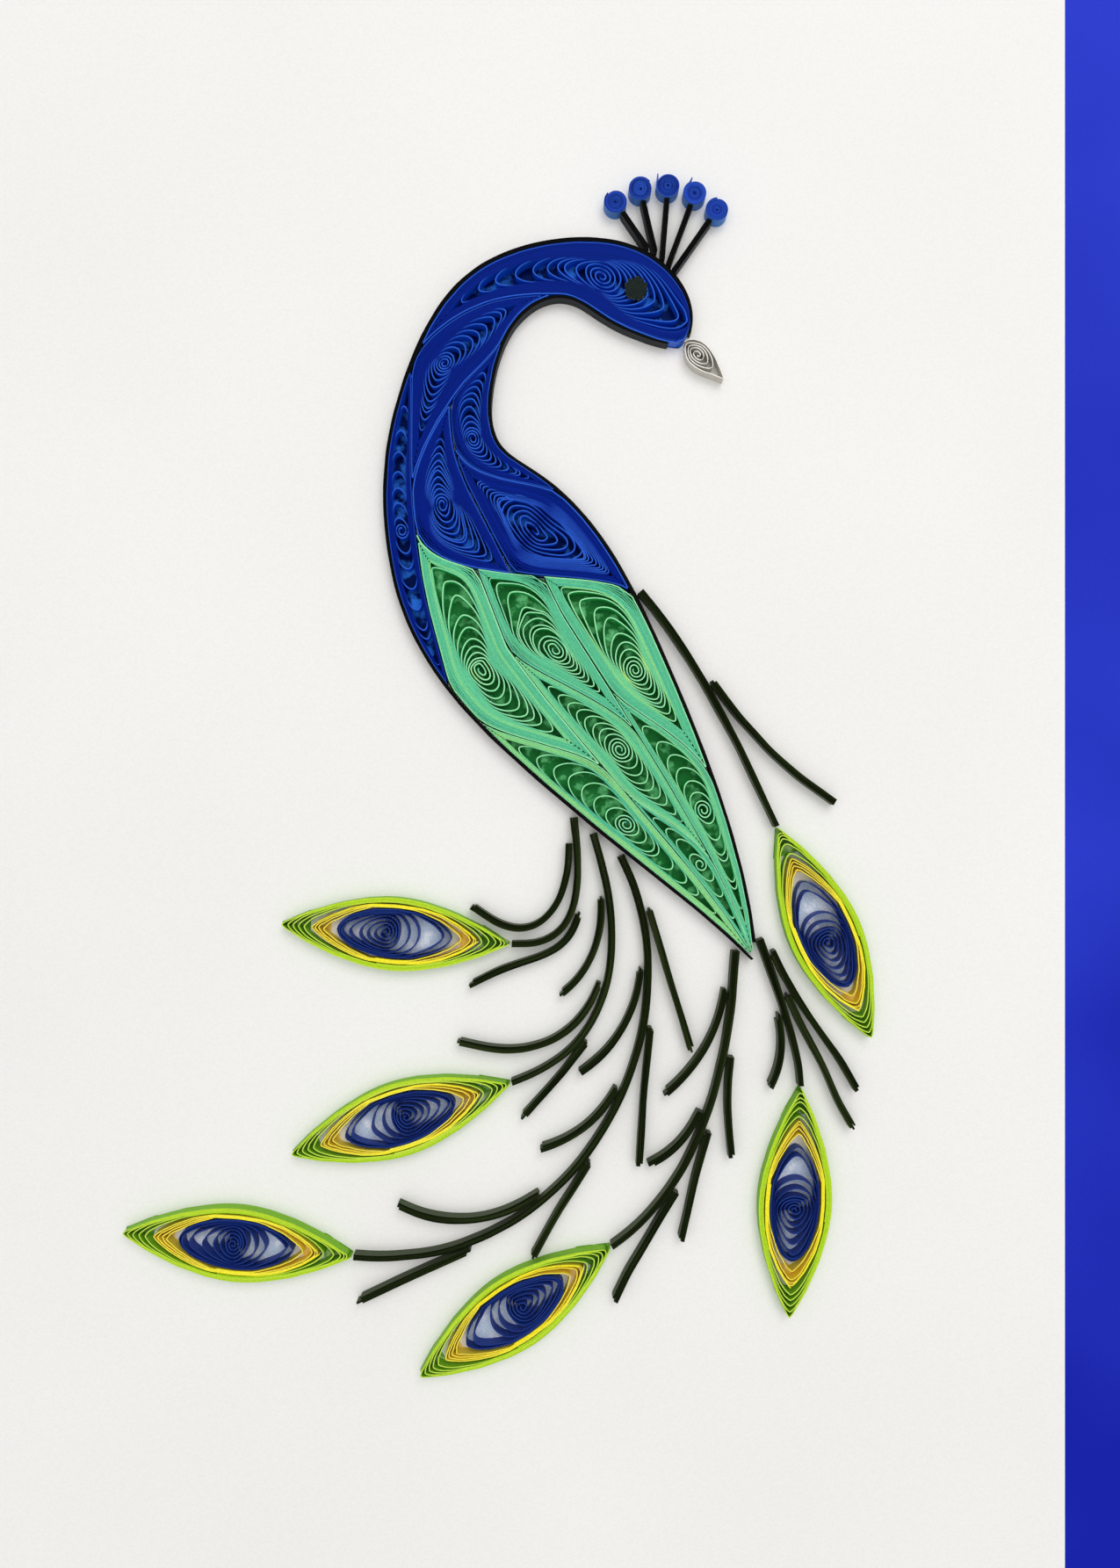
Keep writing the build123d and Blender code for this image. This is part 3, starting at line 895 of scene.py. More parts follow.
PUPIL_PAPER = PaperFinish(
    "paper_pupil",
    ((0.0, (20, 28, 26)), (0.6, (42, 52, 48)), (1.0, (112, 126, 120))),
    rim_highlight=(64, 74, 72),
    wall=(40, 50, 48),
    rough=0.8,
    sheen=0.04,
)
WHITE_CARD = CardFinish(
    "card_white",
    light=(243, 242, 239),
    dark=(240, 238, 235),
    grain=2600.0,
    depth=0.012 * MM,
    rough=0.55,
)
# The blue board's light and dark colours span painted shade from its lit top to its darker bottom, with
# its clouds.
BLUE_BOARD = CardFinish(
    "mount_board_blue",
    light=(40, 58, 202),
    dark=(16, 30, 168),
    grain=1500.0,
    depth=0.06 * MM,
    rough=0.5,
    painted_shade_slope=1.7,
    sheen=0.06,
)
PALE_FLOOR = CardFinish(
    "pale_floor",
    light=(222, 221, 218),
    dark=(214, 213, 210),
    grain=400.0,
    depth=0.05 * MM,
    rough=0.7,
)


@dataclass(frozen=True)
class Plan:
    """How the turns of one coil share its width at the core.

    Attributes:
        half: Half the coil's width there.
        pitch: The step from one tight turn to the next.
        paper: The strip's thickness.
        tight: The turns outside the core.
        wall: The outer ones of them, which stay together right round the tips.
        tight_depth: How deep under the coil's edge the tight turns go.
        room: How deep the innermost turn lies.
        total: All the turns.
        finest: The samples that the strip's points are picked from.
        outer_points: The fewest and the most points on the outermost turn.
        core_points: The points on the innermost turn.
    """

    half: float
    pitch: float
    paper: float
    tight: float
    wall: float
    tight_depth: float
    room: float
    total: float
    finest: int = 4000
    outer_points: tuple[float, float] = (72.0, 200.0)
    core_points: float = 44.0

    def stations(self, length: float) -> Row:
        """Place the strip's points, closer together in turns that are shorter.

        Args:
            length: The length of the coil's middle line.

        Returns:
            The turn number at each point.
        """
        finest = np.linspace(0.0, self.total, self.finest)
        fewest, most = self.outer_points
        outer = min(max(2.0 * length / STATION_STEP, fewest), most)
        turns = [0.0, self.tight, self.total]
        density = np.interp(finest, turns, [outer, 0.5 * outer, self.core_points])
        counted = np.concatenate([[0.0], np.cumsum((density[1:] + density[:-1]) / 2.0)])
        counted *= self.total / (len(finest) - 1)
        return np.interp(np.arange(int(counted[-1])), counted, finest)

    def depth(self, turn: Row) -> Row:
        """Give how deep under the coil's edge the strip's middle line lies.

        Args:
            turn: The turn number at each of its points.

        Returns:
            One depth for each point, at the core's place along the coil.
        """
        turns = [0.0, self.tight, self.total]
        return np.interp(turn, turns, [-SEAM_COVER, self.tight_depth, self.room]) + self.paper / 2.0


@dataclass(frozen=True)
class Winding:
    """How a strip is wound into a coil pinched to a shape.

    Attributes:
        pitch: The widest step from one tight turn to the next.
        thinnest: The narrowest such step.
        turns: The turns wanted outside the core.
        wall_share: The share of those turns that stay together right round the tips.
        core_turns: The turns of the round, looser core.
        core_pitch: The step from one turn of the core to the next.
        core_radius: The core's innermost radius.
        core_stretch: How much longer than wide the core is.
        core_share: The most of the room that the core's turns take.
        core_slack: How much wider than wanted the core's steps may get.
        evenness: How much of their spacing the turns keep towards the core.
        step_play: The least and the most that a step is of its even share.
        stick: The share of turns that stick to the one before.
        stuck_step: What is left of the step before a turn that sticks.
        sway: How far the bends lean to one side, as a share of their width.
        sway_turns: The turns from one such lean to the next.
        arm: How long a turn's bend is against half the room across it.
        room: The least width of an end bend against the turn's width at the core.
        point: How pointed the outer bends are.
        ease: How often the path is smoothed away from the coil's edge.
        fill: How much of the step from turn to turn the paper takes.
        loosens: Whether paper that stands free swells to its full thickness.
        tone: The strip's own tone.
        tone_range: How much the tone changes from strip to strip.
        turn_range: How much it changes from turn to turn.
        tone_turns: The fewest and the most turns that are one strip.
        drops: How low a turn's upper edge lies at least and at most, in millimetres.
        ripple: How much that edge rises and falls along the strip.
    """

    pitch: float
    thinnest: float
    turns: float
    wall_share: float
    core_turns: float
    core_pitch: float
    core_radius: float
    core_stretch: float = 1.25
    core_share: float = 0.45
    core_slack: float = 1.5
    evenness: float = 1.0
    step_play: tuple[float, float] = (0.8, 1.2)
    stick: float = 0.06
    stuck_step: float = 0.3
    sway: float = 0.12
    sway_turns: float = 3.5
    arm: float = 1.7
    room: float = 0.3
    point: float = 0.16
    ease: int = 5
    fill: float = 0.93
    loosens: bool = True
    tone: float = 0.5
    tone_range: float = 0.5
    turn_range: float = 0.22
    tone_turns: tuple[float, float] = (1.5, 4.0)
    drops: tuple[float, float] = (0.01, 0.12)
    ripple: float = 0.015 * MM

    def wind(self, shape: CoilShape, rng: np.random.Generator) -> Strip:
        """Wind the strip from the outline to the core.

        Args:
            shape: The coil's outline.
            rng: The source of small irregularities.

        Returns:
            The wound strip.
        """
        plan = self._plan(shape.core_half)
        turn = plan.stations(shape.length)
        theta = FULL_TURN * turn
        depth = plan.depth(turn)
        reach, sway = self._bends(shape, plan, turn, rng)
        core = turn > plan.tight
        reach = np.where(core, (plan.half - depth) * self.core_stretch / shape.unit, reach)
        at = shape.core_at + reach * np.cos(theta)
        breadth = np.where(core, plan.half - depth, np.maximum(shape.half(at) - depth, 0.0))
        bend = np.minimum(self.arm * breadth, reach * shape.unit)
        near = nearness(reach * shape.unit, theta, bend)
        inside = np.clip(turn - plan.wall + 0.5, 0.0, 1.0)
        opening = np.clip((plan.tight - turn) / max(plan.tight - plan.wall, 1.0), 0.0, 1.0)
        closing = (1.0 - near**2) ** (0.5 + self.point * inside * opening)
        off = breadth * (np.sign(np.sin(theta)) * closing + inside * sway * near**2)
        path = shape.points(at, off)
        eased = np.clip(depth / MM, 0.0, 1.0)[:, None]
        path = path + (smoothed(path, self.ease) - path) * eased
        loose = np.where(core, 1.0, np.sqrt(near) * inside) * self.loosens
        width = plan.paper * np.where(loose > 0.0, 1.0, shape.squareness(at, path))
        width = width + np.maximum(LOOSE_PAPER - plan.paper, 0.0) * loose
        # How free each turn stands sets the painted highlight on its upper edge.
        free = np.maximum(inside * near**0.5, np.clip(1.3 - turn, 0.0, 1.0))
        free = free * (turn < plan.total - 0.2)
        return Strip(path, self._drops(turn, rng), self._tones(turn, rng), free, width)

    def _plan(self, half: float) -> Plan:
        """Share out the coil's width at the core between the turns.

        Args:
            half: Half that width.

        Returns:
            The plan of its turns.
        """
        room = half - self.core_radius
        core_turns = min(self.core_turns, self.core_share * room / self.core_pitch)
        depth = room - core_turns * self.core_pitch
        pitch = min(max(depth / self.turns, self.thinnest), self.pitch)
        tight = min(depth / pitch, self.turns)
        depth = tight * pitch
        core_turns = max(core_turns, (room - depth) / (self.core_slack * self.core_pitch))
        return Plan(
            half=half,
            pitch=pitch,
            paper=self.fill * pitch,
            tight=tight,
            wall=self.wall_share * tight,
            tight_depth=depth,
            room=room,
            total=tight + core_turns,
        )

    def _bends(
        self, shape: CoilShape, plan: Plan, turn: Row, rng: np.random.Generator
    ) -> tuple[Row, Row]:
        """Work out how far each turn reaches and how much its bends sway.

        Args:
            shape: The coil's outline.
            plan: The plan of its turns.
            turn: The turn number at each point of the strip.
            rng: The source of small irregularities.

        Returns:
            The reach and the sway at each point.
        """
        toward = np.cos(FULL_TURN * turn)
        reach = np.empty_like(turn)
        sway = np.empty_like(turn)
        knots = np.arange(0.0, plan.total + 4.0, self.sway_turns)
        for end in (1.0, -1.0):
            here = toward * end >= 0.0
            reach[here] = np.interp(turn, *self._reaches(shape, plan, end, rng))[here]
            leans = rng.uniform(-self.sway, self.sway, len(knots))
            sway[here] = np.interp(turn, knots, leans)[here]
        return reach, sway

    def _reaches(
        self, shape: CoilShape, plan: Plan, end: float, rng: np.random.Generator
    ) -> tuple[Row, Row]:
        """Work out how far the turns reach towards one tip.

        Args:
            shape: The coil's outline.
            plan: The plan of its turns.
            end: The tip, 1 or -1.
            rng: The source of small irregularities.

        Returns:
            Turn numbers, and the reach of each from the core.
        """
        quarters = np.arange(0.0, plan.wall, 0.25)
        outer = [shape.reach(end, (level + 0.5) * plan.pitch) for level in quarters]
        inner = [shape.reach(end, (plan.wall + 2.0) * plan.pitch)]
        near = (plan.half - plan.tight_depth) * self.core_stretch / shape.unit
        count = max(int(round(plan.tight - plan.wall)), 2)
        steps = 1.0 - (np.arange(count) + 0.5) / count + self.evenness
        steps *= rng.uniform(*self.step_play, count)
        stuck = rng.uniform(0.0, 1.0, count) < self.stick
        steps[stuck] *= self.stuck_step
        knots = plan.wall + (plan.tight - plan.wall) * np.arange(count + 1) / count
        for index, step in enumerate(steps):
            level = knots[index + 1] * plan.pitch
            margin = self.room * (plan.half - level) * (index + 1) / count
            limit = max(shape.reach(end, level + margin), near)
            evenly_on = inner[-1] - (inner[-1] - near) * step / steps[index:].sum()
            inner.append(min(evenly_on, limit))
        return np.concatenate([quarters, knots]), np.array([*outer, *inner])

    def _tones(self, turn: Row, rng: np.random.Generator) -> Row:
        """Give a tone to each strip that the coil is made of, and a little to each turn.

        Args:
            turn: The turn number at each point of the strip.
            rng: The source of the tones.

        Returns:
            The tone at each point.
        """
        ends = np.cumsum(rng.uniform(*self.tone_turns, MOST_TURNS))
        strips = rng.uniform(-0.5, 0.5, MOST_TURNS + 1)[np.searchsorted(ends, turn)]
        turns = rng.uniform(-1.0, 1.0, int(turn[-1]) + 2)[turn.astype(int)]
        return np.clip(self.tone + self.tone_range * strips + self.turn_range * turns, 0.0, 1.0)

    def _drops(self, turn: Row, rng: np.random.Generator) -> Row:
        """Set each turn's upper edge a little lower than the highest one.

        Args:
            turn: The turn number at each point of the strip.
            rng: The source of the heights.

        Returns:
            How much lower the edge is at each point.
        """
        levels = rng.uniform(*self.drops, int(turn[-1]) + 3) * MM
        ripple = self.ripple * (1.0 + np.sin(turn * 11.0))
        return np.interp(turn, np.arange(len(levels)), levels) + ripple


class CoilKind(Enum):
    """The kinds of coil that are wound inside a pinched outline."""

    BLUE = Winding(
        pitch=0.24 * MM,
        thinnest=0.095 * MM,
        turns=15.0,
        wall_share=0.42,
        core_turns=3.0,
        core_pitch=0.46 * MM,
        core_radius=0.35 * MM,
        arm=1.5,
        tone=0.3,
        tone_range=0.3,
    )
    GREEN = Winding(
        pitch=0.26 * MM,
        thinnest=0.12 * MM,
        turns=16.0,
        wall_share=0.5,
        core_turns=3.0,
        core_pitch=0.56 * MM,
        core_radius=0.4 * MM,
        arm=1.5,
        tone=0.52,
    )
    BEAK = Winding(
        pitch=0.5 * MM,
        thinnest=0.4 * MM,
        turns=3.0,
        wall_share=0.2,
        core_turns=2.0,
        core_pitch=0.55 * MM,
        core_radius=0.25 * MM,
        arm=1.6,
        stick=0.0,
        fill=0.5,
        loosens=False,
        tone_range=0.3,
    )
    NAVY = Winding(
        pitch=0.24 * MM,
        thinnest=0.18 * MM,
        turns=4.5,
        wall_share=0.25,
        core_turns=3.0,
        core_pitch=0.48 * MM,
        core_radius=0.25 * MM,
        core_stretch=1.05,
        evenness=2.0,
        stick=0.0,
        arm=1.2,
        room=0.12,
        point=0.05,
    )


class Seed(IntEnum):
    """Where each group of pieces starts to count the numbers that vary its pieces."""

    PUPIL = 7
    BLUE = 10
    GREEN = 30
    BEAK = 51
    EDGE = 60
    CREST = 70
    CREST_STEMS = 80
    LIME = 100
    YELLOW = 110
    NAVY = 120
    STEM = 130
    BARBS = 140


@dataclass
class PinchedCoil:
    """A coil wound from one strip inside the outline of its solid.

    Attributes:
        node: The CAD node, which also names the piece.
        kind: How it is wound.
        finish: Its paper.
        seed: The number that its irregularities come from.
        tone_shift: How much its paper differs from the common tone.
        round_end: Whether the end nearer to its core is round.
        squared: How far the lines across it are turned square to its middle line.
        film: How thick the film is that carries the painted light and shade of its floor.
        bare: How many points at each tip the film leaves bare.
    """

    node: str
    kind: CoilKind
    finish: PaperFinish
    seed: int
    tone_shift: float = 0.0
    round_end: bool = False
    squared: float = 1.0
    film: float = 0.0
    bare: int = 2

    def build(self, material: bpy.types.Material) -> bpy.types.Object:
        """Wind the coil.

        Args:
            material: Its paper's material.

        Returns:
            The coil's object.
        """
        piece = StripPiece(self.node, self.seed)
        solid = piece.solid
        shape = CoilShape(solid.outers[0], solid.core(), self.round_end, self.squared)
        strip = self.kind.value.wind(shape, piece.rng)
        strip.tone = np.clip(strip.tone + self.tone_shift, 0.0, 1.0)
        piece.add(strip)
        # The film between the turns carries the painted light and shade of the gaps' floor.
        if self.film > 0.0:
            at = shape.places[self.bare : -self.bare]
            side = shape.half(at) + SEAM_COVER
            piece.add_painted_film(shape.points(at, side), shape.points(at, -side), self.film)
        return piece.build(material, self.finish.name)


@dataclass
class RingCoil:
    """A pinched coil wound round a room for another coil.

    Attributes:
        node: The CAD node.
        finish: Its paper.
        turns: How many times the strip goes round.
        paper: The strip's thickness.
        seed: The number that its irregularities come from.
        lap: The share of a turn that the strip's inner end laps over.
        step_play: The least and the most that a step at the tips is of its even share.
        drops: How low a turn's upper edge lies at least and at most, in millimetres.
        arm: How long a turn's bend is against half the room across it.
        point: How pointed its bends are.
        play: How far the innermost bends stay off the room's tips.
        film: How thick the film is that carries the painted shade and glints on the floor of its tips.
        filled: How far that film reaches out to the coil's own tips.
    """

    node: str
    finish: PaperFinish
    turns: int
    paper: float
    seed: int
    lap: float = 0.3
    step_play: tuple[float, float] = (0.7, 1.3)
    drops: tuple[float, float] = (0.01, 0.1)
    arm: float = 1.5
    point: float = 0.25
    play: float = 0.25 * MM
    film: float = 0.05 * MM
    filled: float = 0.98

    def build(self, material: bpy.types.Material) -> bpy.types.Object:
        """Wind the ring, tight along its sides and parted at its tips.

        Args:
            material: Its paper's material.

        Returns:
            The ring's object.
        """
        piece = StripPiece(self.node, self.seed)
        room = piece.solid.holes[0][::-1]
        shape = CoilShape(piece.solid.outers[0], room.mean(0))
        band = shape.core_half - CoilShape(room, room.mean(0)).core_half
        places = [shape.place_of(room[index]) for index in far_corners(room)]
        tips = ((1.0, max(places)), (-1.0, min(places)))
        # Films on the floor at both tips carry the painted shade between the parted turns.
        for end, tip in tips:
            at = np.linspace(tip, self.filled * end, FLOOR_STEPS)
            side = shape.half(at) * end
            piece.add_painted_film(shape.points(at, side), shape.points(at, -side), self.film)
        piece.add(self._wound(shape, band, tips, piece.rng))
        return piece.build(material, self.finish.name)

    def _wound(
        self,
        shape: CoilShape,
        band: float,
        tips: tuple[tuple[float, float], ...],
        rng: np.random.Generator,
    ) -> Strip:
        """Wind the strip from the outline to the room.

        Args:
            shape: The coil's outline.
            band: The width that the turns share beside the room.
            tips: Each end, 1 or -1, with the place of the room's tip there.
            rng: The source of small irregularities.

        Returns:
            The wound strip.
        """
        steps = int(self.turns * 2.0 * shape.length / STATION_STEP)
        turn = np.linspace(0.0, self.turns + self.lap, steps)
        theta = FULL_TURN * turn
        depth = self.paper / 2.0 + (band - self.paper) * turn / turn[-1]
        reach = np.empty_like(turn)
        for end, tip in tips:
            here = np.cos(theta) * end >= 0.0
            outer = shape.reach(end, self.paper)
            inmost = abs(tip - shape.core_at) + self.play / shape.unit
            parts = np.cumsum([0.0, *rng.uniform(*self.step_play, self.turns)])
            reaches = outer + (inmost - outer) * parts / parts[-1]
            reach[here] = np.interp(turn, np.arange(self.turns + 1), reaches)[here]
        at = shape.core_at + reach * np.cos(theta)
        breadth = np.maximum(shape.half(at) - depth, 0.0)
        near = nearness(reach * shape.unit, theta, self.arm * breadth)
        off = breadth * np.sign(np.sin(theta)) * (1.0 - near**2) ** (0.5 + self.point)
        knots = np.arange(self.turns + 2)
        shades = rng.uniform(-1.0, 1.0, len(knots))
        levels = rng.uniform(*self.drops, len(knots)) * MM
        tone = np.clip(0.5 + 0.5 * np.interp(turn, knots, shades), 0.0, 1.0)
        drop = np.interp(turn, knots, levels)
        # Nearness to a bend's tip sets the painted highlight on the upper edge.
        return Strip(shape.points(at, off), drop, tone, near**0.5, self.paper)


@dataclass
class TightCoil:
    """A round coil wound tight from its middle.

    Attributes:
        node: The CAD node.
        finish: Its paper.
        seed: The number that its irregularities come from.
        paper: The strip's thickness.
        tail: How far the loose end stands off.
        tail_angle: The angle over which it stands off.
        tail_from: The least and the greatest angle at which that end lies.
        parted: The share of its turns that stand a little off the next.
        steps: A turn's step inward in thicknesses of paper, parted and not.
        hole: The radius of the hole in the middle.
        turn_points: The points on each turn.
        dished: How deep the middle lies under the rim.
    """

    node: str
    finish: PaperFinish
    seed: int
    paper: float = 0.17 * MM
    tail: float = 0.3 * MM
    tail_angle: float = 0.35
    tail_from: tuple[float, float] = (0.6, 2.4)
    parted: float = 0.4
    steps: tuple[float, float] = (1.7, 1.04)
    hole: float = 0.25 * MM
    turn_points: int = 48
    dished: float = 0.1 * MM

    def build(self, material: bpy.types.Material) -> bpy.types.Object:
        """Wind the coil.

        Args:
            material: Its paper's material.

        Returns:
            The coil's object.
        """
        piece = StripPiece(self.node, self.seed)
        rng = piece.rng
        radius = piece.solid.radius - self.paper / 2.0
        parted = rng.uniform(0.0, 1.0, MOST_TURNS) < self.parted
        steps = self.paper * np.where(parted, *self.steps)
        sunk = np.concatenate([[0.0], np.cumsum(steps)])
        turns = float(np.interp(radius - self.hole, sunk, np.arange(len(sunk))))
        theta = np.linspace(0.0, FULL_TURN * turns, int(turns * self.turn_points))
        turn = theta / FULL_TURN
        out = radius - np.interp(turn, np.arange(len(sunk)), sunk)
        out += self.tail * np.clip(1.0 - theta / self.tail_angle, 0.0, 1.0) ** 1.5
        angle = theta + rng.uniform(*self.tail_from)
        path = piece.solid.middle + np.column_stack([out * np.cos(angle), out * np.sin(angle)])
        levels = rng.uniform(0.0, 0.05, int(turns) + 3) * MM
        drop = np.interp(turn, np.arange(len(levels)), levels)
        drop += self.dished * (1.0 - out / radius) ** 2
        tone = rng.uniform(0.0, 1.0, int(turns) + 2)[turn.astype(int)]
        piece.add(Strip(path, drop, tone, np.zeros_like(tone), self.paper))
        return piece.build(material, self.finish.name)


@dataclass
class StripBundle:
    """Strips laid side by side along each long outline of a node.

    Attributes:
        node: The CAD node.
        finish: Its paper.
        strips: How many strips lie side by side.
        seed: The number that its irregularities come from.
        stagger: How much shorter some strips are.
        wave: How far the strips stray from their line.
        waves: The lengths over which they stray.
        fill: How much of its room each strip takes.
        smoothing: How often its sides are smoothed.
    """

    node: str
    finish: PaperFinish
    strips: int
    seed: int
    stagger: float = 0.0
    wave: float = 0.0
    waves: tuple[float, float] = (4.1 * MM, 2.3 * MM)
    fill: float = 0.94
    smoothing: int = 10

    def build(self, material: bpy.types.Material) -> bpy.types.Object:
        """Lay the strips.

        Args:
            material: Their paper's material.

        Returns:
            The bundle's object.
        """
        piece = StripPiece(self.node, self.seed)
        for outline in piece.solid.outers:
            left, right = self._sides(outline)
            for index in range(self.strips):
                piece.add(self._strip(left, right, index, piece.rng))
        return piece.build(material, self.finish.name)

    def _sides(self, outline: Path) -> list[Path]:
        """Find the two long sides between the four sharpest corners.

        Args:
            outline: The closed outline.

        Returns:
            Both sides, from the same end to the other.
        """
        before = outline - np.roll(outline, 1, axis=0)
        after = np.roll(outline, -1, axis=0) - outline
        cross = before[:, 0] * after[:, 1] - before[:, 1] * after[:, 0]
        turn = np.abs(np.arctan2(cross, np.sum(before * after, axis=1)))
        corners = sorted(np.argsort(-turn)[:4].tolist())
        chains = []
        for start, end in zip(corners, corners[1:] + corners[:1]):
            turned = np.roll(outline, -start, axis=0)
            chains.append(turned[: (end - start) % len(outline) + 1])
        lengths = [run_length(chain) for chain in chains]
        first = 0 if lengths[0] + lengths[2] > lengths[1] + lengths[3] else 1
        count = max(int(lengths[first] / BUNDLE_STEP), 8)
        pair = (chains[first], chains[first + 2][::-1])
        return [smoothed(evenly(side, count), self.smoothing) for side in pair]

    def _strip(self, left: Path, right: Path, index: int, rng: np.random.Generator) -> Strip:
        """Lay one strip between the two sides.

        Args:
            left: The points of one side.
            right: The matching points of the other side.
            index: The strip's number, counted from the left.
            rng: The source of small irregularities.

        Returns:
            The laid strip.
        """
        count = len(left)
        over = right - left
        width = np.linalg.norm(over, axis=1)
        far = np.arange(count) * BUNDLE_STEP
        ripple = rng.uniform(0.0, 6.0, 2)
        bows = [np.sin(far / length + start) for length, start in zip(self.waves, ripple)]
        stray = self.wave * (bows[0] + bows[1]) / 2.0
        path = left + over * ((index + 0.5) / self.strips)
        path = path + over / np.maximum(width, TINY)[:, None] * stray[:, None]
        cuts = rng.uniform(0.0, self.stagger, 2) * (index != self.strips // 2)
        start, short = (min(int(cut / BUNDLE_STEP), count // 4) for cut in cuts)
        level = (0.01 + 0.05 * index + rng.uniform(0.0, 0.03)) * MM
        drop = level + 0.005 * MM * (1.0 + np.sin(far / (5.0 * MM) + ripple[0]))
        shade = 0.2 * np.sin(far / max(count * BUNDLE_STEP, MM) * 7.0 + ripple[1])
        tone = np.clip(rng.uniform(0.1, 0.9) + shade, 0.0, 1.0)
        paper = self.fill * np.minimum(width, np.median(width)) / self.strips
        kept = slice(start, count - short)
        return Strip(path[kept], drop[kept], tone[kept], np.zeros(len(far[kept])), paper[kept])


@dataclass
class Pupil:
    """The small dark disc on the head coil, with a rough, fibrous edge.

    Attributes:
        node: The CAD node.
        finish: Its paper.
        seed: The number that its irregularities come from.
        rings: The rings of points from its middle to its edge.
        spokes: The points on each ring.
        spread: How far its longest fibres reach, against the solid's radius.
        lobes: How deep its edge is torn in large, as a share of the radius.
        frayed: How deep it is torn from fibre to fibre.
        sunk: How far its face lies under the solid's, in millimetres.
        nap: How uneven the face is towards its edge, in millimetres.
        fall: How far the edge falls, in millimetres.
    """

    node: str = "pupil"
    finish: PaperFinish = PUPIL_PAPER
    seed: int = Seed.PUPIL
    rings: int = 14
    spokes: int = 150
    spread: float = 1.1
    lobes: float = 0.26
    frayed: float = 0.1
    sunk: float = 0.02
    nap: float = 0.09
    fall: float = 0.1

    def build(self, material: bpy.types.Material) -> bpy.types.Object:
        """Make the disc.

        Args:
            material: Its paper's material.

        Returns:
            The disc's object.
        """
        rng = np.random.default_rng(self.seed)
        corners = self._corners(NodeTop(self.node), rng)
        mesh = bpy.data.meshes.new(f"{self.node}_paper")
        mesh.from_pydata(corners, [], self._faces())
        edge = 1 + (self.rings - 2) * self.spokes
        shades = rng.uniform(0.0, 0.6, len(corners))
        shades[edge:] = rng.uniform(0.0, 1.0, len(corners) - edge)
        tint(mesh, "tone", shades)
        tint(mesh, "open", np.zeros(len(corners)))
        return place_mesh(mesh, material, [self.node])

    def _corners(self, solid: NodeTop, rng: np.random.Generator) -> list[tuple[float, ...]]:
        """Place the points of the face, its torn edge and the under side.

        Args:
            solid: The CAD node.
            rng: The source of the torn edge.

        Returns:
            The face's middle, its rings outward, the lower ring and the lower middle.
        """
        x, y = solid.middle
        rough = rng.uniform(0.0, 1.0, (self.spokes, 1))
        torn = smoothed(rough, 3)[:, 0]
        torn = (torn - torn.min()) / (torn.max() - torn.min())
        fringe = 1.0 - self.lobes * torn - self.frayed * rough[:, 0] ** 2
        corners = [(x, y, solid.top - 0.03 * MM)]
        for ring in range(1, self.rings + 1):
            share = ring / self.rings
            for spoke in range(self.spokes):
                angle = FULL_TURN * spoke / self.spokes
                trim = 1.0 + (fringe[spoke] - 1.0) * share**3
                reach = self.spread * solid.radius * share * trim
                low = (self.sunk + self.nap * rng.uniform() * share + self.fall * share**6) * MM
                across, along = reach * math.cos(angle), reach * math.sin(angle)
                corners.append((x + across, y + along, solid.top - low))
        corners += [(*corner[:2], solid.base) for corner in corners[-self.spokes :]]
        return [*corners, (x, y, solid.base)]

    def _faces(self) -> list[tuple[int, ...]]:
        """Join the rings, the rim's wall and the under side.

        Returns:
            The faces by their corners' numbers.
        """
        faces: list[tuple[int, ...]] = []
        low_ring = 1 + self.rings * self.spokes
        foot = low_ring + self.spokes
        for spoke in range(self.spokes):
            after = (spoke + 1) % self.spokes
            faces.append((0, 1 + spoke, 1 + after))
            for inner in range(1, low_ring, self.spokes):
                outer = inner + self.spokes
                faces.append((inner + spoke, outer + spoke, outer + after, inner + after))
            faces.append((foot, low_ring + after, low_ring + spoke))
        return faces


PaperPiece = PinchedCoil | RingCoil | TightCoil | StripBundle | Pupil


@dataclass
class PaperWork:
    """A part of the picture that is made of paper strips.

    Attributes:
        finishes: The papers that it needs.
        film: How thick the film of painted light and shade on its coils' floors is.
        papers: Their materials by their names.
    """

    finishes: ClassVar[tuple[PaperFinish, ...]] = ()
    film: float = 0.05 * MM
    papers: dict[str, bpy.types.Material] = field(default_factory=dict)

    def dress(self) -> None:
        """Make the papers."""
        for finish in self.finishes:
            self.papers[finish.name] = finish.material()

    def make(self, piece: PaperPiece) -> None:
        """Make one piece from its paper."""
        piece.build(self.papers[piece.finish.name])


